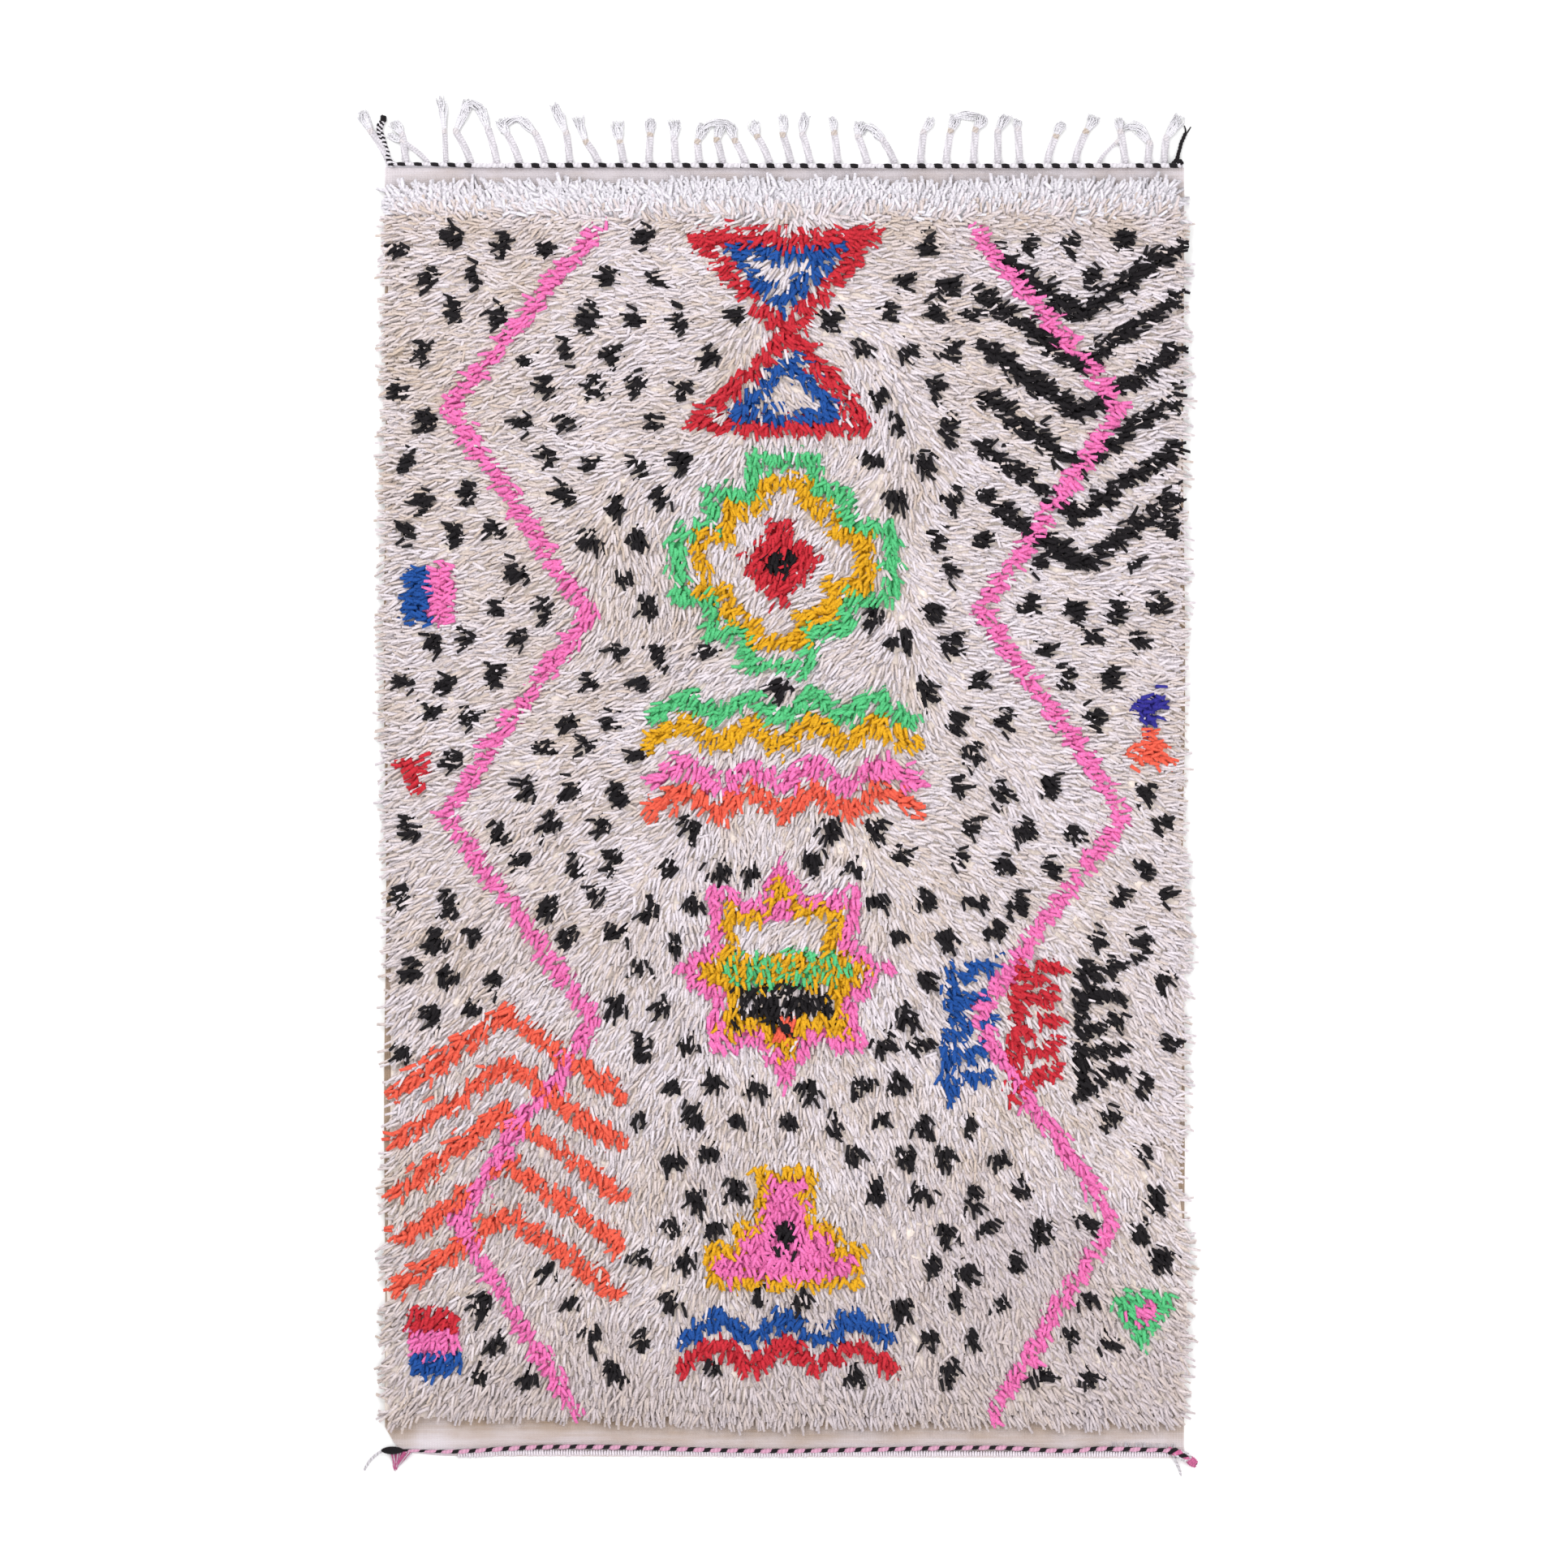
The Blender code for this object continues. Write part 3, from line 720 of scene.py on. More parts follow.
def add_node(tree, kind, inputs=(), **settings):
    """A node with its settings, and its inputs linked or set."""
    node = tree.nodes.new(kind)
    for key, value in settings.items():
        setattr(node, key, value)
    for key, value in dict(inputs).items():
        if isinstance(value, Value):
            tree.links.new(value.socket, node.inputs[key])
        else:
            node.inputs[key].default_value = value
    return node


def result(tree, kind, inputs=(), output=0, **settings):
    """One result of a new node."""
    return Value(add_node(tree, kind, inputs, **settings).outputs[output])


def named(node):
    """A node's results by name."""
    return {socket.name: Value(socket) for socket in node.outputs}


def start_group(name, kind, inputs, **outputs):
    """A node group with named inputs and outputs, and what its inputs give."""
    tree = bpy.data.node_groups.new(name, kind)
    for label, socket, default in inputs:
        made = tree.interface.new_socket(label, in_out="INPUT", socket_type="NodeSocket" + socket)
        if default is not None:
            made.default_value = default
    for label, socket in outputs.items():
        tree.interface.new_socket(label, in_out="OUTPUT", socket_type="NodeSocket" + socket)
    return tree, named(tree.nodes.new("NodeGroupInput"))


def end_group(tree, **results):
    """Link a group's results to its outputs."""
    add_node(tree, "NodeGroupOutput", results)
    return tree


def ramp(value, low, high, most=1.0, kind="LINEAR"):
    """How far a value is on the way between two limits."""
    inputs = {"Value": value, "From Min": low, "From Max": high, "To Max": most}
    return result(value.tree, "ShaderNodeMapRange", inputs, "Result", interpolation_type=kind)


def noise_of(place, scale, detail):
    """Noise between 0 and 1 at a place."""
    return result(place.tree, "ShaderNodeTexNoise", {"Vector": place, "Scale": scale, "Detail": detail}, "Fac")


def mixed(share, first, second):
    """Two colours mixed."""
    return result(share.tree, "ShaderNodeMix", {0: share, 6: first, 7: second}, 2, data_type="RGBA")


def object_place(tree):
    """The place on the piece."""
    return result(tree, "ShaderNodeTexCoord", output="Object")


# Materials


def wool_group():
    """Ply, fuzz and tone of wool yarn, from the values that each strand carries; the root colour, faded in along the
    strand, is painted shading, and the ply grooves carry painted shade.
    """
    if "wool_yarn" in bpy.data.node_groups:
        return bpy.data.node_groups["wool_yarn"]
    tree, given = start_group(
        "wool_yarn", "ShaderNodeTree",
        (("Tip", "Color", None), ("Root", "Color", None), ("Second", "Color", None), ("Variation", "Float", 0.5),
         ("Root Fade", "Float", 0.02), ("Ply Pitch", "Float", 0.007), ("Ply Depth", "Float", 0.2),
         ("Nap", "Float", 0.5)),
        Colour="Color", Height="Float", Normal="Vector",
    )
    along, ply_cos, ply_sin, shade = (
        result(tree, "ShaderNodeAttribute", output="Fac", attribute_name=name)
        for name in ("along", "ply_cos", "ply_sin", "shade")
    )
    place = object_place(tree)
    fuzz, cloud = noise_of(place, 900.0, 2.0), noise_of(place, 9.0, 3.0)
    # Painted shading: the colour runs from the root colour to the tip colour along the strand, standing in for the
    # light and shade deep in the pile.
    base = mixed(ramp(along, 0.0, given["Root Fade"], kind="SMOOTHSTEP"), given["Root"], given["Tip"])
    tone = given["Variation"].math("MULTIPLY", shade + (cloud - 0.5), clamp=True)
    angle = along * FULL_TURN / given["Ply Pitch"]
    ply = ply_sin * angle.math("COSINE") + ply_cos * angle.math("SINE")
    # Painted shade: the colour darkens in the grooves between the plies; the fuzz noise added to it is the yarn's own
    # uneven tone.
    groove_shade = (1.0 - ply) * (given["Ply Depth"] * 0.5)
    light = (1.0 - groove_shade) + (fuzz - 0.5) * 0.35
    upward = result(tree, "ShaderNodeCombineXYZ", {"Z": given["Nap"]})
    raised = result(tree, "ShaderNodeNewGeometry", output="Normal").vector("ADD", upward)
    return end_group(
        tree, Colour=mixed(tone, base, given["Second"]).scaled(light), Height=ply * 0.5 + fuzz,
        Normal=raised.vector("NORMALIZE"),
    )


def weave_group():
    """Weft-faced weave: crosswise weft ribs over lengthwise warps, with painted shade between the ribs."""
    if "flat_weave" in bpy.data.node_groups:
        return bpy.data.node_groups["flat_weave"]
    tree, given = start_group(
        "flat_weave", "ShaderNodeTree",
        (("Weft Pitch", "Float", 0.0026), ("Warp Pitch", "Float", 0.005), ("Unevenness", "Float", 0.5)),
        Mask="Float", Height="Float", Streak="Float",
    )
    place = object_place(tree)
    split = named(add_node(tree, "ShaderNodeSeparateXYZ", {"Vector": place}))
    stretched = result(tree, "ShaderNodeMapping", {"Vector": place, "Scale": (9.0, 130.0, 1.0)}, "Vector")
    streak = noise_of(stretched, 1.0, 3.0)
    warp = split["X"] * FULL_TURN / given["Warp Pitch"]
    weft = split["Y"] * FULL_TURN / given["Weft Pitch"] + streak * given["Unevenness"] * 14.0
    rib = (weft + warp.math("SINE")).math("SINE")
    height = rib * 0.4 + warp.math("COSINE") * 0.35 + noise_of(place, 800.0, 2.0)
    # The first output is painted shade: darker between the ribs, lighter on them.
    return end_group(tree, Mask=rib * 0.5 + 0.5, Height=height, Streak=streak)


def start_material(name, sockets):
    """A material, its tree and its shader, with values set on the shader's own sockets."""
    material = bpy.data.materials.new(name)
    material.use_nodes = True
    shader = material.node_tree.nodes["Principled BSDF"]
    for label, value in sockets.items():
        shader.inputs[label].default_value = value
    return material, material.node_tree, shader


def connect(tree, shader, colour, height, distance, **normal):
    """A colour and a bump height on a shader, over a given normal if there is one."""
    inputs = {"Height": height, "Distance": distance, "Strength": BUMP_STRENGTH, **normal}
    bump = result(tree, "ShaderNodeBump", inputs, "Normal")
    tree.links.new(colour.socket, shader.inputs["Base Color"])
    tree.links.new(bump.socket, shader.inputs["Normal"])


def yarn_material(name, tip, root, second, variation, fade=0.022, ply_pitch=0.007, ply_shade_depth=0.2, nap=0.3):
    """Wool yarn of one colour; the nap is how much its loose fibres catch the light from above."""
    material, tree, shader = start_material(name, {"Roughness": 0.92, "Sheen Weight": 0.06, **WOOL})
    inputs = {
        "Tip": (*tip, 1), "Root": (*root, 1), "Second": (*second, 1), "Variation": variation, "Root Fade": fade,
        "Ply Pitch": ply_pitch, "Ply Depth": ply_shade_depth, "Nap": nap,
    }
    yarn = named(add_node(tree, "ShaderNodeGroup", inputs, node_tree=wool_group()))
    connect(tree, shader, yarn["Colour"], yarn["Height"], 0.8 * MM, Normal=yarn["Normal"])
    return material


def undyed_material(name, colours, tip, root, second, variation, ply_shade_depth, nap):
    """Undyed yarn of the pile, from the names of its colours."""
    tones = (getattr(colours, tone) for tone in (tip, root, second))
    return yarn_material(name, *tones, variation, ply_shade_depth=ply_shade_depth, nap=nap)


def dyed_material(name, colour):
    """Dyed yarn: darker at the root as painted shade deep in the pile, with a paler second tone."""
    # Painted shade: the root colour is the yarn's colour darkened.
    dark = tuple(part * 0.55 for part in colour)
    second = tuple(part * 0.84 + 0.006 for part in colour)
    return yarn_material(name, colour, dark, second, 0.55, nap=0.8)


def cord_yarn(name, colour):
    """Tightly spun yarn of a cord."""
    dark = tuple(part * 0.75 for part in colour)
    return yarn_material(name, colour, colour, dark, 0.4, fade=0.001, ply_pitch=0.006, ply_shade_depth=0.25)


def fringe_yarn(name, colour, second, variation, ply_shade_depth=0.3, nap=0.3):
    """Finely spun yarn of the fringe."""
    return yarn_material(name, colour, colour, second, variation, 0.001, 0.005, ply_shade_depth, nap)


def band_material(colours):
    """The flat-woven bands, lilac cream at the fringe's end and beige at the plain end, with a painted shadow of the
    pile darkening each band towards the pile.
    """
    material, tree, shader = start_material("band_weave", {"Roughness": 0.92, "Sheen Weight": 0.1, **WOOL})
    weave = named(add_node(tree, "ShaderNodeGroup", node_tree=weave_group()))
    place = object_place(tree)
    split = named(add_node(tree, "ShaderNodeSeparateXYZ", {"Vector": place}))
    top_end = ramp(split["Y"], *BAND_UPPER_HALF)
    # Painted shadow: the plain end's band deepens from its own beige to a darker beige towards the pile.
    beige = (1.0 - top_end) * (ramp(split["Y"], *BAND_LOW_PILE_SHADOW) * 0.68 + 0.26)
    aside = (split["X"] - PALE_CORNER_X).math("ABSOLUTE")
    corner = ramp(aside, *BAND_PALE_CORNER, -0.34, "SMOOTHSTEP") * (1.0 - top_end)
    # Painted shadow: the fringe's band darkens towards the pile.
    warm = beige + ramp(split["Y"], *BAND_TOP_PILE_SHADOW) * top_end * 0.4 + corner
    uneven = (weave["Streak"] * 0.6 - (0.8 - noise_of(place, 11.0, 4.0))) * 1.1
    share = warm.math("ADD", uneven, clamp=True)
    ground = mixed(share, (*colours.band_light, 1), (*colours.band_dark, 1))
    # Painted shade between the weft ribs.
    connect(tree, shader, ground.scaled(weave["Mask"] * 0.16 + 0.86), weave["Height"], 0.9 * MM)
    return material


def back_material():
    """The weave of the back, which takes each cell's yarn colour from the mesh."""
    material, tree, shader = start_material("woven_back", {"Roughness": 0.93, "Sheen Weight": 0.1, **WOOL})
    inputs = {"Weft Pitch": 0.005, "Warp Pitch": 0.0078, "Unevenness": 0.25}
    weave = named(add_node(tree, "ShaderNodeGroup", inputs, node_tree=weave_group()))
    tint = result(tree, "ShaderNodeAttribute", output="Color", attribute_name="tint")
    # Painted shade between the weft ribs, and the whole back a little dimmer.
    level = (weave["Mask"] * 0.25 + 0.75) * 0.95
    connect(tree, shader, tint.scaled(level), weave["Height"], 1.1 * MM)
    return material


def packed_material():
    """Matted wool between the yarn ends: fine fibres in each knot's colour."""
    material, tree, shader = start_material("packed_wool", {"Roughness": 0.95, "Sheen Weight": 0.05, **WOOL})
    inputs = {"Vector": object_place(tree), "Scale": (210.0, 150.0, 90.0)}
    fibre = noise_of(result(tree, "ShaderNodeMapping", inputs, "Vector"), 1.0, 2.0)
    tint = result(tree, "ShaderNodeAttribute", output="Color", attribute_name="tint")
    connect(tree, shader, tint.scaled(fibre * 0.5 + 0.68), fibre, 2.5 * MM)
    return material


# Ground weave and the bed of the pile


def end_y(x):
    """Where the plain end's edge lies."""
    return between([(px * MM, py * MM) for px, py in END_EDGE], x)


def grid_cells(across, along):
    """The cells of a grid of points, and its rim, anticlockwise."""
    cells = []
    for row in range(along):
        for column in range(across):
            a = row * (across + 1) + column
            cells.append((a, a + 1, a + across + 2, a + across + 1))
    rim = list(range(across)) + [across + row * (across + 1) for row in range(along)]
    rim += [along * (across + 1) + column for column in range(across, 0, -1)]
    rim += [row * (across + 1) for row in range(along, 0, -1)]
    return cells, rim


def cell_tints(verts, cells, shapes, colours):
    """The yarn colour at the middle of each cell."""
    middles = [sum((Vector(verts[corner]) for corner in cell), Vector()) / 4 for cell in cells]
    rng = random.Random(PILE_SEED)
    spans = [(span_of(shape), shape) for shape in shapes]
    tints = []
    for x, y, _ in middles:
        near = [shape for (low, high), shape in spans if low <= y / MM <= high]
        yarn = yarn_at(near, x / MM, y / MM, rng)
        if yarn in ("cream", ""):
            # Undyed cells take the root colours, which are painted shading.
            yarn = "bright_root" if y > PILE_TOP_Y - BRIGHT_DEPTH else "cream_root"
        tints.append((*getattr(colours, yarn), 1))
    return tints


def tinted_slab(name, verts, size, level, top_down, shapes, colours, materials, smoothed):
    """A closed slab between a grid of points and a flat face at a level, each cell in its yarn's colour."""
    cells, rim = grid_cells(*size)
    tints = cell_tints(verts, cells, shapes, colours)
    flat = list(range(len(verts), len(verts) + len(rim)))
    verts = verts + [(*verts[corner][:2], level) for corner in rim]
    walls = [(b, a, c, d) for a, b, c, d in zip(rim, rim[1:] + rim[:1], flat, flat[1:] + flat[:1])]
    faces = cells + walls + [tuple(reversed(flat))]
    if top_down:
        faces = [tuple(reversed(face)) for face in faces]
    tints += [tints[0]] * (len(faces) - len(cells))
    mesh = plain_mesh(name, verts, faces, materials=materials, smoothed=smoothed, tint=tints)
    for face in mesh.polygons[len(cells):]:
        face.material_index = len(materials) - 1
    return new_piece(name, mesh)


def make_cloth(colours, shapes):
    """The cloth, with its bands, the ground under the pile and its back."""
    across, along = CLOTH_CELLS
    verts = []
    for row in range(along + 1):
        for column in range(across + 1):
            share = row / along
            x = (2 * column / across - 1) * half_cloth(CLOTH_BOTTOM_Y + (CLOTH_TOP_Y - CLOTH_BOTTOM_Y) * share)
            low = end_y(x)
            verts.append((x, low + (CLOTH_TOP_Y - low) * share, 0))
    materials = (back_material(), band_material(colours))
    return tinted_slab(
        "ground_cloth", verts, CLOTH_CELLS, CLOTH_THICKNESS, True, shapes, colours, materials, False
    )


def make_bed(colours, shapes):
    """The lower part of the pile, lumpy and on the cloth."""
    across, along = BED_CELLS
    depth = PILE_TOP_Y - PILE_BOTTOM_Y - 2 * BED_INSET
    verts = []
    for row in range(along + 1):
        for column in range(across + 1):
            u, v = 2 * column / across - 1, 2 * row / along - 1
            y = PILE_BOTTOM_Y + BED_INSET + depth * (v + 1) / 2 + end_wave(u, v)
            left, right = outline_at(y)
            x = (left + right) / 2 + u * ((right - left) / 2 - BED_INSET)
            inward = min((1 - abs(u)) * CLOTH_HALF_WIDTH, (1 - abs(v)) * PILE_TOP_Y)
            fluff = sum(rise * noise_at(x * fine_x, y * fine_y, layer) for rise, fine_x, fine_y, layer in BED_FLUFF)
            share = BED_SHARE + BED_STRIP_SHARE * smooth((y - PILE_TOP_Y + BRIGHT_DEPTH) / BED_STRIP_FADE)
            height = smooth(inward / BED_RIM) * (share * pile_height(x, y, inward) + fluff * MM)
            verts.append((x, y, CLOTH_THICKNESS + 1 * MM + height))
    return tinted_slab(
        "pile_bed", verts, BED_CELLS, CLOTH_THICKNESS, False, shapes, colours, (packed_material(),), True
    )


# Yarn ends of the pile


def tuft_source(name, shape, width):
    """One closed yarn end with three sides and a cut tip."""
    centres = [Vector((0, 0, 0))] + [Vector(point) * MM for point in shape]
    verts, along, ply_cos, ply_sin = [tuple(centres[0])], [0.0], [0.0], [0.0]
    for index in (1, 2):
        heading = (centres[2] - centres[index // 2]).normalized()
        side = heading.cross(Vector((0, 0, 1))).normalized()
        up = side.cross(heading)
        half = width / 2 * (1.0 if index == 1 else TUFT_TAPER)
        for step in range(TUFT_SIDES):
            angle = -math.pi / 2 + step * FULL_TURN / TUFT_SIDES
            place = centres[index] + side * half * TUFT_ACROSS * math.cos(angle)
            verts.append(tuple(place + up * half * TUFT_DEEP * math.sin(angle)))
            along.append(TUFT_ALONG[index] * MM)
            ply_cos.append(math.cos(angle))
            ply_sin.append(math.sin(angle))
    faces = [tuple(range(1 + TUFT_SIDES, 1 + 2 * TUFT_SIDES))]
    for step in range(TUFT_SIDES):
        a, b = 1 + step, 1 + (step + 1) % TUFT_SIDES
        faces += [(0, b, a), (a, b, b + TUFT_SIDES, a + TUFT_SIDES)]
    mesh = plain_mesh(name, verts, faces, smoothed=True, along=along, ply_cos=ply_cos, ply_sin=ply_sin)
    return bpy.data.objects.new(name, mesh)


def carried(tree, name, data_type="FLOAT"):
    """A value that the geometry carries."""
    return result(tree, "GeometryNodeInputNamedAttribute", {"Name": name}, data_type=data_type)


def stripped(tree, geometry, names):
    """Geometry without the values that are no longer needed."""
    for name in names:
        geometry = result(tree, "GeometryNodeRemoveAttribute", {"Geometry": geometry, "Name": name})
    return geometry


def knot_tree():
    """Geometry Nodes: one yarn end on each knot point."""
    if "pile_knots" in bpy.data.node_groups:
        return bpy.data.node_groups["pile_knots"]
    tree, given = start_group(
        "pile_knots", "GeometryNodeTree",
        (("Geometry", "Geometry", None), ("Yarn Ends", "Collection", None), ("Length", "Float", 1.0),
         ("Yarn", "Material", None)),
        Geometry="Geometry",
    )
    ends = result(
        tree, "GeometryNodeCollectionInfo",
        {"Collection": given["Yarn Ends"], "Separate Children": True, "Reset Children": True},
    )
    turn = result(tree, "FunctionNodeEulerToRotation", {"Euler": carried(tree, "turn", "FLOAT_VECTOR")})
    grown = result(
        tree, "GeometryNodeInstanceOnPoints",
        {"Points": given["Geometry"], "Instance": ends, "Pick Instance": True,
         "Instance Index": carried(tree, "kind", "INT"), "Rotation": turn,
         "Scale": carried(tree, "stretch", "FLOAT_VECTOR").scaled(given["Length"])},
    )
    solid = result(tree, "GeometryNodeRealizeInstances", {"Geometry": grown})
    solid = result(tree, "GeometryNodeSetShadeSmooth", {"Geometry": solid, "Shade Smooth": True})
    solid = stripped(tree, solid, ("turn", "stretch", "kind"))
    dyed = result(tree, "GeometryNodeSetMaterial", {"Geometry": solid, "Material": given["Yarn"]})
    return end_group(tree, Geometry=dyed)


def lean_of(x, y, top_gap, side_gap, rng):
    """The direction that a yarn end lies in, and how far it is tipped down from its usual rise."""
    side = x / CLOTH_HALF_WIDTH
    upper = eased((y - PILE_BOTTOM_Y) / (PILE_TOP_Y - PILE_BOTTOM_Y), 0.22, 0.62)
    whorl = min(max(2.3 * side + 1.7 * noise_at(x * 4, y * 4, 7.7), -1), 1)
    swirl = sum(math.radians(turn) * noise_at(x * fine, y * fine, layer) for turn, fine, layer in SWIRLS)
    angle = math.radians((1 - upper) * FAN_LOW * side + upper * FAN_HIGH * whorl) + swirl
    angle += math.radians(rng.gauss(0, TURN_SPREAD))
    tip = math.radians(rng.gauss(0, TIP_SPREAD))
    if rng.random() < STRAY_SHARE:
        angle += math.radians(rng.uniform(-STRAY_TURN, STRAY_TURN))
    if top_gap < STRIP_BLEND[1]:
        if rng.random() > eased(top_gap, *STRIP_BLEND):
            angle = math.pi - side * math.radians(STRIP_FAN) + swirl + math.radians(rng.gauss(0, STRIP_SPREAD))
        tip -= math.radians(STRIP_DROP) * eased(top_gap, *DROP_START) * eased(top_gap, *DROP_END)
    if side_gap < RIM_GAP and rng.random() < RIM_SHARE:
        angle = math.copysign(math.radians(RIM_TURN + rng.gauss(0, RIM_SPREAD)), x)
        tip += math.radians(RIM_DROP)
    return math.atan2(-math.cos(angle), math.sin(angle)), tip


def settled(tip, shape, stretch, root_z):
    """How far a yarn end may tip so that its end stays above the floor and below the pile's full height."""
    reach, _, rise = shape[1]
    for _ in range(TIP_STEPS):
        top = root_z + (rise * stretch[2] * math.cos(tip) - reach * stretch[0] * math.sin(tip)) * MM
        if top < TUFT_LOWEST:
            tip -= TIP_STEP
        elif top > TUFT_HIGHEST:
            tip += TIP_STEP
    return tip


def tone_of(x, y, row, top_gap, rng):
    """How much of its second tone a yarn end takes, in patches and along its row."""
    shade = 0.85 * rng.random() ** 1.8 + 0.3 * noise_at(x * 5, y * 5, 1.7)
    shade += 0.18 * noise_at(x * 3, row * 7.3, 5.0) + 0.12 * eased(y, -0.2, -1.1) + 0.16 * eased(x, 0, -0.7)
    below_strip = eased(top_gap, 46 * MM, 70 * MM) * eased(top_gap, 112 * MM, 76 * MM)
    return shade + 0.7 * (0.5 + noise_at(x * 11, 0, 6.5)) * below_strip


def plan_knot(x, y, row, wave, reach, yarn, sizes, rng):
    """The yarn ends of one knot, each with its group."""
    left, right = reach
    side_gap, top_gap = min(x - left, right - x), PILE_TOP_Y + wave - y
    height = pile_height(x, y, min(side_gap, top_gap, y - PILE_BOTTOM_Y)) / TUFT_REACH
    bright = eased(top_gap, BRIGHT_DEPTH, BRIGHT_DEPTH - BRIGHT_FADE)
    # How far a knot lies towards the plain end, in patches; there the pile takes the darker tones and is a little
    # shorter.
    dusty = smooth((-0.5 * HALF_LENGTH - y) / (0.5 * HALF_LENGTH) + 0.9 * noise_at(x * 3, y * 3, 8.8))
    for end in range(ENDS_IN_KNOT):
        beside = (end - (ENDS_IN_KNOT - 1) / 2) * sizes.knot_pitch / ENDS_IN_KNOT
        azimuth, tip = lean_of(x, y, top_gap, side_gap, rng)
        length = rng.gauss(1, 0.09) * (1 - 0.14 * bright - 0.04 * dusty)
        width = rng.gauss(1, 0.09) * (1 + 0.5 * bright + 0.04 * dusty)
        shade = tone_of(x, y, row, top_gap, rng)
        spread = 3.4 if yarn == "cream" else 5.2
        place = (x + beside, y + rng.gauss(0, spread) * MM, CLOTH_THICKNESS - ROOT_DEPTH)
        stretch = (length, width, min(height * rng.gauss(1, 0.1), MOST_STRETCH))
        if yarn != "cream":
            stretch = tuple(part * more for part, more in zip(stretch, DYED_STRETCH))
        kind = rng.randrange(len(TUFT_SHAPES))
        roll = math.radians(rng.gauss(0, ROLL_SPREAD))
        turn = (roll, settled(tip, TUFT_SHAPES[kind], stretch, place[2]), azimuth)
        group = yarn
        if yarn == "cream":
            chance = rng.random()
            group = "bright" if bright > chance else "dusty" if dusty > chance else "cream"
        yield group, Tuft(place, turn, stretch, kind, min(max(shade, 0), 1))


def plan_tufts(sizes, shapes):
    """Every yarn end of the pile, by yarn."""
    rng = random.Random(PILE_SEED)
    spans = [(span_of(shape), shape) for shape in shapes]
    tufts = {yarn: [] for yarn in ("cream", "bright", "dusty") + YARNS}
    first_y, depth = PILE_BOTTOM_Y + FIRST_ROW, PILE_TOP_Y - PILE_BOTTOM_Y - FIRST_ROW - LAST_ROW
    count = round(depth / sizes.row_pitch)
    rows = [first_y + depth * i / count for i in range(count + 1)] + [PILE_TOP_Y - gap * MM for gap in STRIP_ROWS]
    columns = round((2 * CLOTH_HALF_WIDTH - 20 * MM) / sizes.knot_pitch) + 1
    for row, y_row in enumerate(rows):
        v = (y_row - first_y) / depth
        left, right = outline_at(y_row)
        near = [shape for (low, high), shape in spans if low - 8 <= y_row / MM <= high + 8]
        skew = rng.uniform(-0.5, 0.5)
        for column in range(columns):
            u = (column + skew) / (columns - 1)
            x = left + SIDE_INSET + (right - left - 2 * SIDE_INSET) * u + rng.gauss(0, 1.5) * MM
            wave = end_wave(2 * u - 1, 2 * v - 1)
            wave += between(END_SHIFT, x) * MM * eased(y_row, first_y + END_SHIFT_DEPTH, first_y)
            y = y_row + wave + rng.gauss(0, 2.3) * MM
            yarn = yarn_at(near, x / MM, y / MM, rng) or "cream"
            for group, tuft in plan_knot(x, y, row, wave, (left, right), yarn, sizes, rng):
                tufts[group].append(tuft)
    return tufts


def grow_pile_piece(name, tufts, ends, material, slot="pile"):
    """One piece of pile, from its yarn ends."""
    mesh = plain_mesh(
        name + "_points", [tuft.place for tuft in tufts], turn=[tuft.turn for tuft in tufts],
        stretch=[tuft.stretch for tuft in tufts], kind=[tuft.kind for tuft in tufts],
        shade=[tuft.shade for tuft in tufts],
    )
    source = new_piece(name + "_points", mesh)
    values = {"Yarn Ends": ends, "Length": 1.0, "Yarn": material}
    finish_piece(grown_mesh(source, knot_tree(), values, name), slot, "pile")


# Cords, plaits and other strands


def course_points(turns, step):
    """Points about a step apart on the smooth curve through a course's rows, in metres and shares."""
    places = []
    last = len(turns) - 1
    for index in range(last):
        before, here, there, after = (turns[min(max(index + offset, 0), last)] for offset in (-1, 0, 1, 2))
        length = math.dist(here[:2], there[:2])
        near_share = length / (math.dist(before[:2], here[:2]) + length)
        far_share = length / (length + math.dist(there[:2], after[:2]))
        count = max(1, round(length * MM / step))
        for i in range(count):
            t = i / count
            values = []
            for a, b, c, d in zip(before, here, there, after):
                slope, far_slope = (c - a) * near_share, (d - b) * far_share
                bend = 3 * (c - b) - 2 * slope - far_slope
                values.append(b + t * (slope + t * (bend + t * (slope + far_slope - 2 * (c - b)))))
            places.append(values)
    places.append(list(turns[-1]))
    return [(x * MM, y * MM, share) for x, y, share in places]


def lift(x, y):
    """Height of what lies under a cord: the cloth, or the floor once the cord is past its edge."""
    past = max(abs(x) - CLOTH_HALF_WIDTH, CLOTH_BOTTOM_Y - y, y - STRIP_OUTER_Y)
    return SEAT_Z * (1 - eased(past, 5 * MM, 23 * MM))


def laid(turns, radius, step=2 * MM):
    """A course lying on the cloth or the floor, as x, y, z and share."""
    return [(x, y, lift(x, y) + radius * share, share) for x, y, share in course_points(turns, step)]


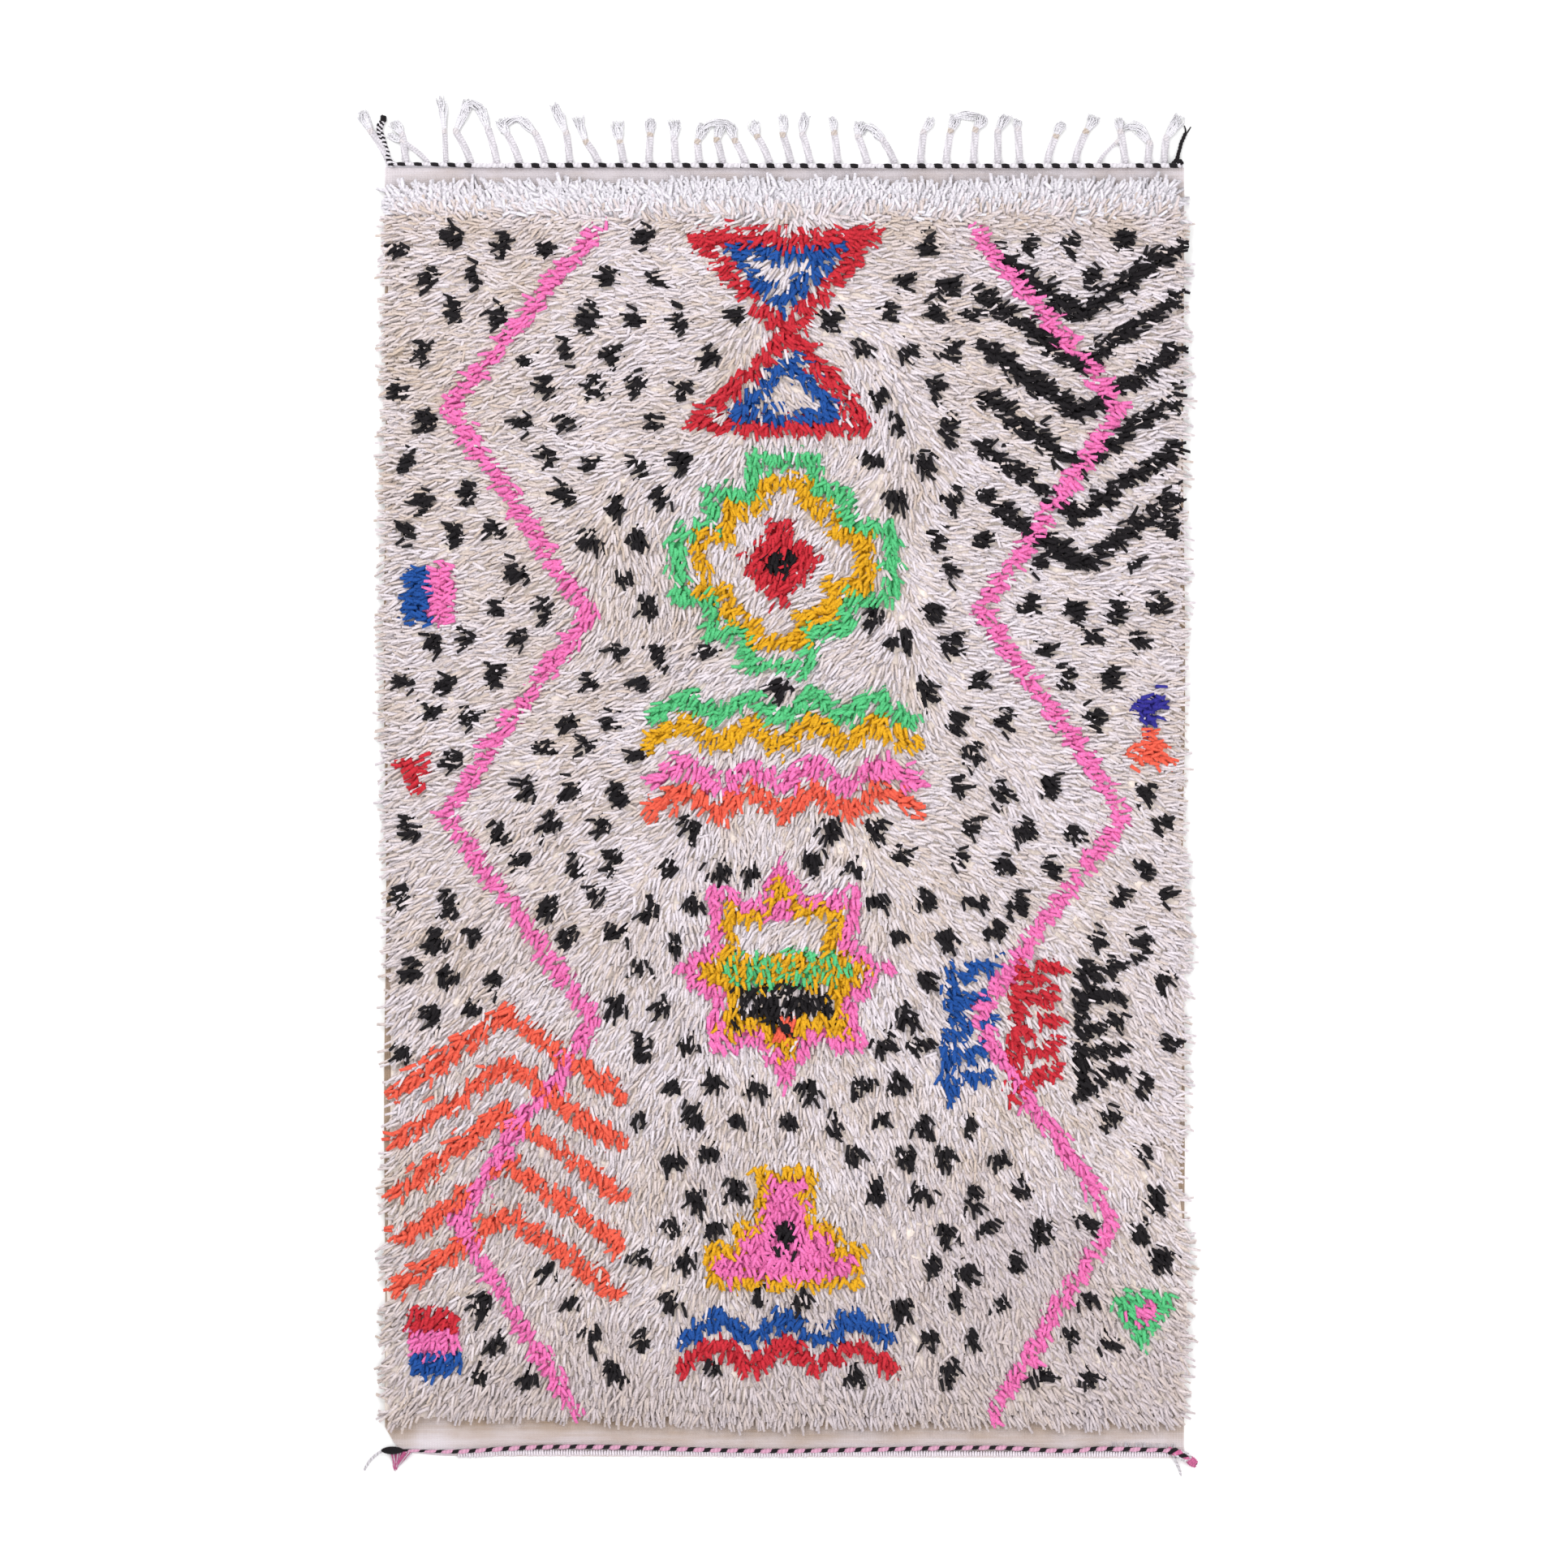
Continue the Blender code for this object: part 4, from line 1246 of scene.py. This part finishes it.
def strand_tree():
    """Geometry Nodes: round strands that twist or plait along each course."""
    if "yarn_strands" in bpy.data.node_groups:
        return bpy.data.node_groups["yarn_strands"]
    tree, given = start_group(
        "yarn_strands", "GeometryNodeTree",
        (("Geometry", "Geometry", None), ("Strands", "Int", 1), ("Strand Radius", "Float", 0.002),
         ("Swing", "Float", 0.0), ("Rise", "Float", 0.0), ("Pitch", "Float", 0.03), ("Direction", "Float", 1.0),
         ("Crossings", "Float", 1.0), ("Swell", "Float", 0.0), ("First Girth", "Float", 1.0),
         ("First Sink", "Float", 0.0), ("Sides", "Int", 5), ("First Yarn", "Material", None),
         ("Second Yarn", "Material", None)),
        Geometry="Geometry",
    )

    def store(geometry, name, value, data_type="FLOAT"):
        inputs = {"Geometry": geometry, "Name": name, "Value": value}
        return result(tree, "GeometryNodeStoreNamedAttribute", inputs, data_type=data_type, domain="POINT")

    course = result(tree, "GeometryNodeMeshToCurve", {"Mesh": given["Geometry"]})
    copies = named(add_node(
        tree, "GeometryNodeDuplicateElements", {"Geometry": course, "Amount": given["Strands"]}, domain="SPLINE"
    ))
    spline = named(tree.nodes.new("GeometryNodeSplineParameter"))
    marked = store(copies["Geometry"], "strand", copies["Duplicate Index"], "INT")
    marked = store(marked, "along", spline["Length"])
    share, strand = carried(tree, "share"), carried(tree, "strand", "INT")
    turns = spline["Length"] / given["Pitch"] * given["Direction"]
    phase = (turns + strand / given["Strands"]) * FULL_TURN
    swing = given["Swing"] * phase.math("COSINE") * share
    rise = given["Rise"] * (phase * given["Crossings"]).math("SINE") * share
    swell = phase.math("SINE") * given["Swell"] + 1.0
    others = strand.math("MINIMUM", 1.0)
    first = (1.0 - others) * given["First Girth"] + others
    marked = store(marked, "girth", share * swell * first)
    tangent = result(tree, "GeometryNodeInputTangent")
    across = tangent.vector("CROSS_PRODUCT", (0, 0, 1)).vector("NORMALIZE").scaled(swing)
    upward = result(tree, "ShaderNodeCombineXYZ", {"Z": rise - (1.0 - others) * given["First Sink"]})
    swung = result(
        tree, "GeometryNodeSetPosition", {"Geometry": marked, "Offset": across.vector("ADD", upward)}
    )
    ring = result(
        tree, "GeometryNodeCurvePrimitiveCircle", {"Resolution": given["Sides"], "Radius": given["Strand Radius"]}
    )
    around = result(tree, "GeometryNodeSplineParameter", output="Factor") * FULL_TURN
    ring = store(store(ring, "ply_cos", around.math("COSINE")), "ply_sin", around.math("SINE"))
    tube = result(
        tree, "GeometryNodeCurveToMesh",
        {"Curve": swung, "Profile Curve": ring, "Scale": carried(tree, "girth"), "Fill Caps": True},
    )
    tube = result(tree, "GeometryNodeSetShadeSmooth", {"Geometry": tube, "Shade Smooth": True})
    solid = result(tree, "GeometryNodeRealizeInstances", {"Geometry": tube})
    solid = result(tree, "GeometryNodeSetMaterial", {"Geometry": solid, "Material": given["First Yarn"]})
    other = result(tree, "FunctionNodeCompare", {2: strand, 3: 1}, data_type="INT", operation="EQUAL")
    solid = result(
        tree, "GeometryNodeSetMaterial",
        {"Geometry": solid, "Selection": other, "Material": given["Second Yarn"]},
    )
    return end_group(tree, Geometry=stripped(tree, solid, ("strand", "share", "girth")))


def strand_piece(name, lines, yarns, rng, tones=(), radius=0.0, **values):
    """A piece of round strands along lines of (x, y, z, share)."""
    verts, edges, shares, shades = [], [], [], []
    for index, line in enumerate(lines):
        start = len(verts)
        verts += [point[:3] for point in line]
        shares += [point[3] for point in line]
        shades += [tones[index] if tones else rng.random()] * len(line)
        edges += [(start + i, start + i + 1) for i in range(len(line) - 1)]
    source = new_piece(name + "_course", plain_mesh(name + "_course", verts, edges=edges, share=shares, shade=shades))
    given = {key.replace("_", " ").title(): value for key, value in values.items()}
    given.update({"Strand Radius": radius, "First Yarn": yarns[0], "Second Yarn": yarns[-1]})
    return grown_mesh(source, strand_tree(), given, name)


def lay_strands(node, name, lines, yarns, rng, tones=(), **values):
    """A piece of strands that stands for a node."""
    finish_piece(strand_piece(name, lines, yarns, rng, tones, **values), node, node)


def spot(x, y, z):
    """A place or a step given in millimetres."""
    return Vector((x * MM, y * MM, z * MM))


def coil(start, end, radius, turns, rng, taper=0.0, steps=9):
    """Yarn wound round a straight line from start to end, and pulled in at both ends by a share."""
    axis = (end - start).normalized()
    side = Vector((axis.y, -axis.x, 0)).normalized()
    line = []
    offset = rng.uniform(0, FULL_TURN)
    for i in range(int(turns * steps) + 1):
        angle = offset + FULL_TURN * i / steps
        along = i / (turns * steps)
        reach = radius * (1 - taper * abs(2 * along - 1) ** 2.2)
        place = start.lerp(end, along) + side * reach * math.cos(angle)
        line.append((*(place + Vector((0, 0, reach * 0.8 * math.sin(angle)))), 1.0))
    return line


def plume(turns, width, count, rng, root_z=5.5 * MM, low=1.4 * MM, high=9 * MM):
    """Loose fibres along a path, gathered where they start, full in the middle and thin at the tip."""
    places = [Vector((x, y, 0)) for x, y, _ in course_points([(*turn, 1) for turn in turns], 1.5 * MM)]
    last = len(places) - 1
    lines = []
    for _ in range(count):
        lane, curl, bend = rng.uniform(-0.5, 0.5), rng.gauss(0, 0.3), rng.uniform(0, FULL_TURN)
        end, level = rng.uniform(0.52, 1.06), rng.uniform(low, high)
        line = []
        for step in range(7):
            t = end * step / 6
            index = min(int(t * last), last - 1)
            bow = 0.2 * t * math.sin(bend + 8.5 * t)
            heading = (places[index + 1] - places[index]).normalized()
            place = places[index].lerp(places[index + 1], t * last - index)
            full = 0.4 + 0.6 * math.sin(math.pi * min(t * 0.86, 1))
            place += Vector((heading.y, -heading.x, 0)) * width * (lane * full + curl * t * t + bow)
            height = root_z + (level - root_z) * smooth(t * 2.2) - (level - low) * 0.5 * eased(t, 0.6, 1)
            girth = (0.75 + 0.25 * math.sin(math.pi * t)) * (1 - 0.45 * t)
            line.append((place.x, place.y, max(height, low), girth))
        lines.append(line)
    return lines


def plait_place(plait, along):
    """A point on a plait's middle line: 0 is its root, 1 its knot and 2 its tip."""
    root_x, knot_dx, knot_dy, tip_dx, tip_dy = plait
    if along <= 1:
        dx, dy = knot_dx * max(along, 0) ** PLAIT_BEND, knot_dy * along
    else:
        dx = knot_dx + (tip_dx - knot_dx) * (along - 1)
        dy = knot_dy + (tip_dy - knot_dy) * (along - 1)
    return Vector((root_x * MM + dx * MM, STRIP_OUTER_Y + dy * MM, 0))


def plait_line(plait, full):
    """The middle line of one plait, from under the cord to its knot."""
    reach = (plait_place(plait, 1) - plait_place(plait, 0)).length
    steps = max(10, round(reach / (2.4 * MM)))
    line = []
    for i in range(-2, steps + 1):
        place = plait_place(plait, i / steps * 0.98)
        line.append((place.x, place.y, 5.3 * MM, (0.6 + 0.4 * smooth((i + 2) / 5)) * full))
    return line


def fringe_strip(material):
    """The ribbed heading that the plaits leave, under the twined cord."""
    verts, faces = [], []
    for i in range(STRIP_CELLS + 1):
        x = -STRIP_HALF_LENGTH + 2 * STRIP_HALF_LENGTH * i / STRIP_CELLS
        top = (3.9 if i % 2 else 3.2) * MM
        out = STRIP_OUTER_Y - (0 if i % 2 else 0.8 * MM)
        verts += [(x, STRIP_INNER_Y, 0), (x, out, 0), (x, out, top * 0.7), (x, out - 2 * MM, top),
                  (x, STRIP_INNER_Y, top)]
    for i in range(STRIP_CELLS):
        for j in range(5):
            a, b = 5 * i + j, 5 * i + (j + 1) % 5
            faces.append((a, b, b + 5, a + 5))
    faces += [tuple(range(4, -1, -1)), tuple(range(5 * STRIP_CELLS, 5 * STRIP_CELLS + 5))]
    mesh = plain_mesh("fringe_heading", verts, faces, materials=(material,), along=[1.0] * len(verts))
    return new_piece("fringe_heading", mesh)


def loop_tree():
    """Geometry Nodes: one bead of yarn on each point of an edge."""
    tree, given = start_group(
        "warp_loops", "GeometryNodeTree",
        (("Geometry", "Geometry", None), ("Loop", "Object", None), ("Spread", "Float", LOOP_SPREAD),
         ("Seed", "Int", LOOP_SEED), ("Yarn", "Material", None)),
        Geometry="Geometry",
    )
    loop = result(tree, "GeometryNodeObjectInfo", {"Object": given["Loop"]}, "Geometry")
    size = result(
        tree, "FunctionNodeRandomValue",
        {0: (0.88, 0.8, 0.85), 1: (1.12, 1.15, 1.15), "Seed": given["Seed"]}, data_type="FLOAT_VECTOR",
    )
    lean = result(
        tree, "FunctionNodeRandomValue", {2: given["Spread"] * -1.0, 3: given["Spread"], "Seed": given["Seed"]},
        1, data_type="FLOAT",
    )
    turned = result(tree, "ShaderNodeCombineXYZ", {"Z": lean})
    turn = result(tree, "FunctionNodeEulerToRotation", {"Euler": turned})
    grown = result(
        tree, "GeometryNodeInstanceOnPoints",
        {"Points": given["Geometry"], "Instance": loop, "Rotation": turn, "Scale": size},
    )
    solid = result(tree, "GeometryNodeRealizeInstances", {"Geometry": grown})
    return end_group(
        tree, Geometry=result(tree, "GeometryNodeSetMaterial", {"Geometry": solid, "Material": given["Yarn"]})
    )


def loop_source():
    """One warp loop: a bead that comes down from the cord and turns over the cloth's edge."""
    rows = ((5.5, 1.6, 1.2, 6.6), (3.5, 2.3, 1.9, 6.2), (-0.5, 2.5, 2.0, 4.6), (-4.5, 2.2, 1.7, 2.9),
            (-6.4, 1.3, 0.9, 2.0))
    verts, faces, along, ply_cos, ply_sin = [(0, 6.5 * MM, 6.6 * MM)], [], [0.0], [0.0], [0.0]
    for y, half, height, level in rows:
        for step in range(5):
            angle = FULL_TURN * step / 5
            verts.append((half * math.cos(angle) * MM, y * MM, (level + height * math.sin(angle)) * MM))
            along.append((6.5 - y) * MM)
            ply_cos.append(math.cos(angle))
            ply_sin.append(math.sin(angle))
    last = len(verts)
    verts.append((0, -7.2 * MM, 1.8 * MM))
    along.append(13.7 * MM)
    ply_cos.append(0.0)
    ply_sin.append(0.0)
    for step in range(5):
        a, b = 1 + step, 1 + (step + 1) % 5
        faces.append((0, a, b))
        for row in range(0, 5 * (len(rows) - 1), 5):
            faces.append((a + row, a + row + 5, b + row + 5, b + row))
        faces.append((a + 20, last, b + 20))
    mesh = plain_mesh("warp_loop", verts, faces, smoothed=True, along=along, ply_cos=ply_cos, ply_sin=ply_sin)
    return bpy.data.objects.new("warp_loop", mesh)


# Operators


class RUG_OT_ground_weave(bpy.types.Operator):
    """Weave the cloth that carries the pile"""

    bl_idname = "rug.ground_weave"
    bl_label = "Ground weave"

    def execute(self, context):
        cloth = make_cloth(context.scene.rug_colours, design(context.scene.rug_sizes))
        finish_piece(cloth, "ground_weave", "ground_weave")
        return {"FINISHED"}


class RUG_OT_pile(bpy.types.Operator):
    """Knot the pile, one piece for each yarn"""

    bl_idname = "rug.pile"
    bl_label = "Pile"

    def execute(self, context):
        sizes, colours = context.scene.rug_sizes, context.scene.rug_colours
        ends = bpy.data.collections.new("yarn_ends")
        for index, shape in enumerate(TUFT_SHAPES):
            ends.objects.link(tuft_source(f"yarn_end_{index}", shape, sizes.yarn_width))
        shapes = design(sizes)
        finish_piece(make_bed(colours, shapes), "pile", "pile")
        tufts = plan_tufts(sizes, shapes)
        bright = undyed_material("bright_wool", colours, "bright", "bright_root", "cream", 0.5, 0.04, 2.6)
        grow_pile_piece("pile_bright", tufts["bright"], ends, bright)
        dusty = undyed_material("dusty_wool", colours, "dusty", "dusty_root", "beige", 0.55, 0.14, 1.3)
        grow_pile_piece("pile_dusty", tufts["dusty"], ends, dusty)
        cream = undyed_material("cream_wool", colours, "cream", "cream_root", "beige", 0.8, 0.14, 1.3)
        whole = tufts["cream"]
        for part in range(CREAM_PIECES):
            share = whole[len(whole) * part // CREAM_PIECES:len(whole) * (part + 1) // CREAM_PIECES]
            grow_pile_piece(f"pile_cream_{part + 1}", share, ends, cream)
        for yarn in YARNS:
            if not tufts[yarn]:
                raise RuntimeError(f"No knots of {yarn} yarn in the design")
            material = dyed_material(f"{yarn}_wool", getattr(colours, yarn))
            grow_pile_piece(f"pile_{yarn}", tufts[yarn], ends, material, f"pile_{yarn}")
        for end in list(ends.objects):
            discard(end)
        bpy.data.collections.remove(ends)
        return {"FINISHED"}


class RUG_OT_top_fringe(bpy.types.Operator):
    """Plait, knot and tease out the fringe"""

    bl_idname = "rug.top_fringe"
    bl_label = "Fringe"

    def execute(self, context):
        sizes, colours = context.scene.rug_sizes, context.scene.rug_colours
        rng = random.Random(21)
        warp, tassel = colours.warp, colours.tassel
        yarn = fringe_yarn("warp_wool", warp, tuple(part * 0.8 for part in warp), 0.5)
        soiled = fringe_yarn("knot_wool", warp, colours.knot_tan, 1.0)
        combed = fringe_yarn("tassel_wool", tassel, warp, 0.5, ply_shade_depth=0.1, nap=1.6)
        plaits, knots, tassels, tones = [], [], [], []
        for plait in PLAITS:
            full = THIN_PLAITS.get(plait[0], 1.0)
            plaits.append(plait_line(plait, full))
            heading = (plait_place(plait, 1.2) - plait_place(plait, 0.9)).normalized()
            knot = plait_place(plait, 1.0) + Vector((0, 0, 6 * MM))
            knots.append(coil(knot - heading * 3.4 * MM, knot + heading * 4.6 * MM, 4 * MM * full, 2.6, rng))
            tones.append(rng.uniform(0.7, 1) if plait[0] in SOILED_KNOTS else rng.uniform(0.05, 0.3))
            bend = rng.uniform(-3, 3)
            path = [plait_place(plait, along) / MM for along in (1.02, 1.35, 1.7, 2.1)]
            turns = [(place.x + bend * lean, place.y) for place, lean in zip(path, (0, 0.7, 1, 0))]
            tassels += plume(turns, rng.uniform(13, 18) * MM * full, TASSEL_FIBRES, rng)
        for bridge in BRIDGES:
            tassels += plume(bridge, 12 * MM, BRIDGE_FIBRES, rng, root_z=4 * MM)
        node = "top_fringe"
        lay_strands(node, "fringe_plaits", plaits, (yarn, yarn), rng, strands=3, radius=3.3 * MM, swing=4.0 * MM,
                    rise=1.8 * MM, pitch=sizes.plait_pitch, crossings=2.0, sides=5)
        lay_strands(node, "fringe_knots", knots, (soiled, soiled), rng, tones, radius=2.3 * MM, sides=5)
        lay_strands(node, "fringe_tassels", tassels, (combed, combed), rng, radius=1.7 * MM, sides=3)
        finish_piece(fringe_strip(yarn), node, node)
        return {"FINISHED"}


class RUG_OT_top_twining(bpy.types.Operator):
    """Twine the black and white cord along the fringe, with its corner tails"""

    bl_idname = "rug.top_twining"
    bl_label = "Cord along the fringe"

    def execute(self, context):
        sizes, colours = context.scene.rug_sizes, context.scene.rug_colours
        rng = random.Random(31)
        node = "top_twining"
        black, white = cord_yarn("cord_black", colours.black), cord_yarn("cord_white", colours.warp)
        cord = strand_piece("top_cord", [laid(TOP_COURSE, 6.4 * MM, 3.1 * MM)], (black, white), rng, strands=2,
                            radius=3.8 * MM, swing=0.5 * MM, rise=2.9 * MM, swell=0.26, first_sink=0.4 * MM,
                            pitch=sizes.twine_pitch, direction=-1.0, sides=6)
        undyed = cord.data.materials.find("cord_white")
        for face in cord.data.polygons:
            if int((face.center.x - TOP_COURSE[0][0] * MM) / sizes.twine_pitch) in BARE_TURNS:
                face.material_index = undyed
        finish_piece(cord, node, node)
        lay_strands(node, "top_tail_left", [laid(TOP_TAIL_LEFT, 6 * MM)], (black, white), rng, strands=2,
                    radius=3.6 * MM, swing=3.3 * MM, rise=2.2 * MM, pitch=9 * MM, sides=5)
        upper = [(x - 3.5 * MM, y, z, share) for x, y, z, share in laid(TOP_TAIL_LEFT[3:6], 7.5 * MM)]
        lay_strands(node, "top_tail_wrap", [upper], (white, black), rng, strands=2, radius=3.2 * MM,
                    swing=3.2 * MM, rise=1.8 * MM, pitch=8 * MM, sides=5)
        tip, corner = spot(-741, 1226, 6), spot(727, 1148, 10)
        knots = [coil(tip, tip + spot(0.5, 9, 0), 3.4 * MM, 3, rng)]
        knots.append(coil(corner, corner + spot(7, 3, 0), 3.2 * MM, 3, rng))
        lay_strands(node, "top_tail_right", [laid(TOP_TAIL_RIGHT, 5.4 * MM)], (black, black), rng, strands=2,
                    radius=3.1 * MM, swing=2.0 * MM, rise=2.0 * MM, pitch=13 * MM, sides=5)
        forks = [laid(fork, 4 * MM) for fork in TOP_FORKS]
        lay_strands(node, "top_tail_knots", knots + forks, (black, black), rng, radius=3.0 * MM, sides=5)
        return {"FINISHED"}


class RUG_OT_bottom_twining(bpy.types.Operator):
    """Twine the black and pink cord along the plain end, with its knob, loops and loose ends"""

    bl_idname = "rug.bottom_twining"
    bl_label = "Cord along the plain end"

    def execute(self, context):
        sizes, colours = context.scene.rug_sizes, context.scene.rug_colours
        rng = random.Random(41)
        node = "bottom_twining"
        black, pink = cord_yarn("edge_black", colours.black), cord_yarn("edge_pink", colours.pale_pink)
        rose = cord_yarn("edge_rose", colours.rose)
        white, grey = cord_yarn("edge_white", colours.warp), cord_yarn("edge_grey", colours.string)
        course = laid(BOTTOM_COURSE, 6 * MM, 3.5 * MM)
        lay_strands(node, "bottom_cord", [course], (black, pink), rng, strands=2, radius=3.6 * MM, swing=0.8 * MM,
                    rise=2.9 * MM, swell=0.2, first_girth=0.92, first_sink=2.0 * MM, pitch=sizes.twine_pitch,
                    direction=1.0, sides=6)
        lay_strands(node, "bottom_tail", [laid(BOTTOM_TAIL, 8.6 * MM)], (black, rose), rng, strands=2,
                    radius=5.4 * MM, swing=3.4 * MM, rise=2.4 * MM, pitch=22 * MM, sides=5)
        ball = coil(spot(745, -1244, 9), spot(760, -1256, 8.4), 6.8 * MM, 5, rng, 0.4)
        lay_strands(node, "bottom_tail_end", [ball], (rose, rose), rng, radius=2.6 * MM, sides=5)
        left, right, level = (value * MM for value in BOTTOM_KNOB)
        axis_z = SEAT_Z + 7 * MM
        start, end = Vector((left + 2 * MM, level, axis_z)), Vector((right + 3 * MM, level, axis_z))
        knob = coil(start, end, 5.8 * MM, 12, rng, 0.78, steps=11)
        lay_strands(node, "bottom_knob", [knob], (black, black), rng, radius=2.1 * MM, sides=5)
        strings = [laid(KNOB_STRING, 4.1 * MM), laid(TAIL_STRING, 4.1 * MM), laid(TAIL_LOOP, 15 * MM)]
        lay_strands(node, "end_strings", strings, (grey, white), rng, strands=2, radius=2.4 * MM, swing=1.9 * MM,
                    rise=1.6 * MM, pitch=9 * MM, sides=5)
        fibres = [self.knob_fibre(rng) for _ in range(KNOB_FIBRES)]
        lay_strands(node, "knob_tuft", fibres[:ROSE_FIBRES], (rose, rose), rng, radius=1.7 * MM, sides=3)
        lay_strands(node, "knob_tuft_white", fibres[ROSE_FIBRES:], (white, white), rng, radius=1.5 * MM, sides=3)
        ends = [self.edge_end(course, rng) for _ in range(EDGE_END_COUNT)]
        lay_strands(node, "edge_ends", ends, (white, white), rng, radius=1.0 * MM, sides=3)
        self.lay_loops(course, sizes, colours)
        return {"FINISHED"}

    def knob_fibre(self, rng):
        """One loose fibre of the tuft under the knob."""
        near, far, tip = (Vector((*corner, 0)) * MM for corner in KNOB_TUFT)
        start = near.lerp(far, rng.random())
        end = start.lerp(tip + Vector((rng.gauss(0, 1.6), rng.gauss(0, 1.6), 0)) * MM, rng.uniform(0.72, 1.04))
        level = rng.uniform(4, 9) * MM
        return [(*start.lerp(end, t / 4).to_2d(), level - t * (level - 2 * MM) / 4, 1 - 0.1 * t) for t in range(5)]

    def edge_end(self, course, rng):
        """One short yarn end that stands over the cord."""
        x = rng.uniform(*EDGE_ENDS) * MM
        y = between([place[:2] for place in course], x)
        lean = rng.uniform(-1, 4) * MM
        return [(x + lean * t, y + (-3 + 16 * t * rng.uniform(0.9, 1)) * MM, (9 - 3 * t) * MM, 1 - 0.5 * t)
                for t in (0, 0.5, 1)]

    def lay_loops(self, course, sizes, colours):
        """The row of warp loops on the cloth's edge, beyond the cord."""
        yarn = yarn_material("loop_wool", colours.blush, colours.blush, colours.warp, 0.6, fade=0.006, nap=2.0)
        edge = [place[:2] for place in course]
        points = []
        for i in range(int((course[-1][0] - LOOPS_START) / sizes.loop_pitch)):
            x = LOOPS_START + (i + 0.5) * sizes.loop_pitch
            points.append((x, min(between(edge, x) - 7 * MM, end_y(x) + 6.5 * MM), 0.4 * MM))
        source, loop = new_piece("loop_points", plain_mesh("loop_points", points)), loop_source()
        values = {"Loop": loop, "Spread": LOOP_SPREAD, "Seed": LOOP_SEED, "Yarn": yarn}
        finish_piece(grown_mesh(source, loop_tree(), values, "warp_loops"), "ground_weave")
        discard(loop)


class RUG_OT_stage(bpy.types.Operator):
    """Set the pale floor, the soft lights and the camera straight above"""

    bl_idname = "rug.stage"
    bl_label = "Floor, lights and camera"

    def execute(self, context):
        scene = context.scene
        sockets = {"Base Color": (0.96, 0.96, 0.96, 1), "Roughness": 1.0, "Specular IOR Level": 0.0}
        material, _, _ = start_material("studio_floor", sockets)
        corners = [(x, y, 0) for x, y in square(0, 0, FLOOR_REACH, FLOOR_REACH)]
        mesh = plain_mesh("studio_floor", corners, [(0, 1, 2, 3)], materials=(material,))
        floor = new_piece("studio_floor", mesh)
        floor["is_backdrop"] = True
        world = bpy.data.worlds.new("soft_studio")
        world.use_nodes = True
        backdrop = world.node_tree.nodes["Background"]
        backdrop.inputs["Color"].default_value = (1, 1, 1, 1)
        backdrop.inputs["Strength"].default_value = 1.06
        scene.world = world
        self.hang_light("key_light", (-2.6, 3.2, 4.6), 3.4, 140)
        self.hang_light("fill_light", (3.4, -1.8, 4.2), 3.5, 80)
        lens = bpy.data.cameras.new("overhead_camera")
        lens.sensor_width = SENSOR_WIDTH
        lens.lens = SENSOR_WIDTH * CAMERA_PLACE[2] / VIEW_SPAN
        lens.clip_end = 100
        camera = bpy.data.objects.new("overhead_camera", lens)
        camera.location = CAMERA_PLACE
        scene.collection.objects.link(camera)
        scene.camera = camera
        scene.view_settings.view_transform = "Standard"
        return {"FINISHED"}

    def hang_light(self, name, place, size, power):
        """A large square light that faces the rug."""
        lamp = bpy.data.lights.new(name, "AREA")
        lamp.size = size
        lamp.energy = power
        light = bpy.data.objects.new(name, lamp)
        light.location = place
        light.rotation_euler = Vector(place).to_track_quat("Z", "Y").to_euler()
        bpy.context.scene.collection.objects.link(light)


class RUG_PT_panel(bpy.types.Panel):
    """The rug's pieces, sizes and colours"""

    bl_idname = "RUG_PT_panel"
    bl_label = "Shag Rug"
    bl_space_type = "VIEW_3D"
    bl_region_type = "UI"
    bl_category = "Rug"

    def draw(self, context):
        """List the steps and the values."""
        for operator in OPERATORS:
            self.layout.operator(operator.bl_idname)
        for group in (context.scene.rug_sizes, context.scene.rug_colours):
            column = self.layout.column()
            for name in group.bl_rna.properties.keys():
                if name not in ("rna_type", "name"):
                    column.prop(group, name)


OPERATORS = (
    RUG_OT_ground_weave,
    RUG_OT_pile,
    RUG_OT_top_fringe,
    RUG_OT_top_twining,
    RUG_OT_bottom_twining,
    RUG_OT_stage,
)
CLASSES = (RugSizes, RugColours) + OPERATORS + (RUG_PT_panel,)


def register():
    """Add the classes and the scene's properties."""
    for item in CLASSES:
        bpy.utils.register_class(item)
    bpy.types.Scene.rug_sizes = bpy.props.PointerProperty(type=RugSizes)
    bpy.types.Scene.rug_colours = bpy.props.PointerProperty(type=RugColours)


def unregister():
    """Take the classes and the properties away again."""
    del bpy.types.Scene.rug_colours
    del bpy.types.Scene.rug_sizes
    for item in reversed(CLASSES):
        bpy.utils.unregister_class(item)


def main():
    """Build every piece."""
    register()
    for operator in OPERATORS:
        group, name = operator.bl_idname.split(".")
        getattr(getattr(bpy.ops, group), name)()
    boxes = {"cad": CAD_BOX, "visual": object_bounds()}
    {key: [[float(part) for part in corner] for corner in box] for key, box in boxes.items()}


if __name__ == "__main__":
    main()
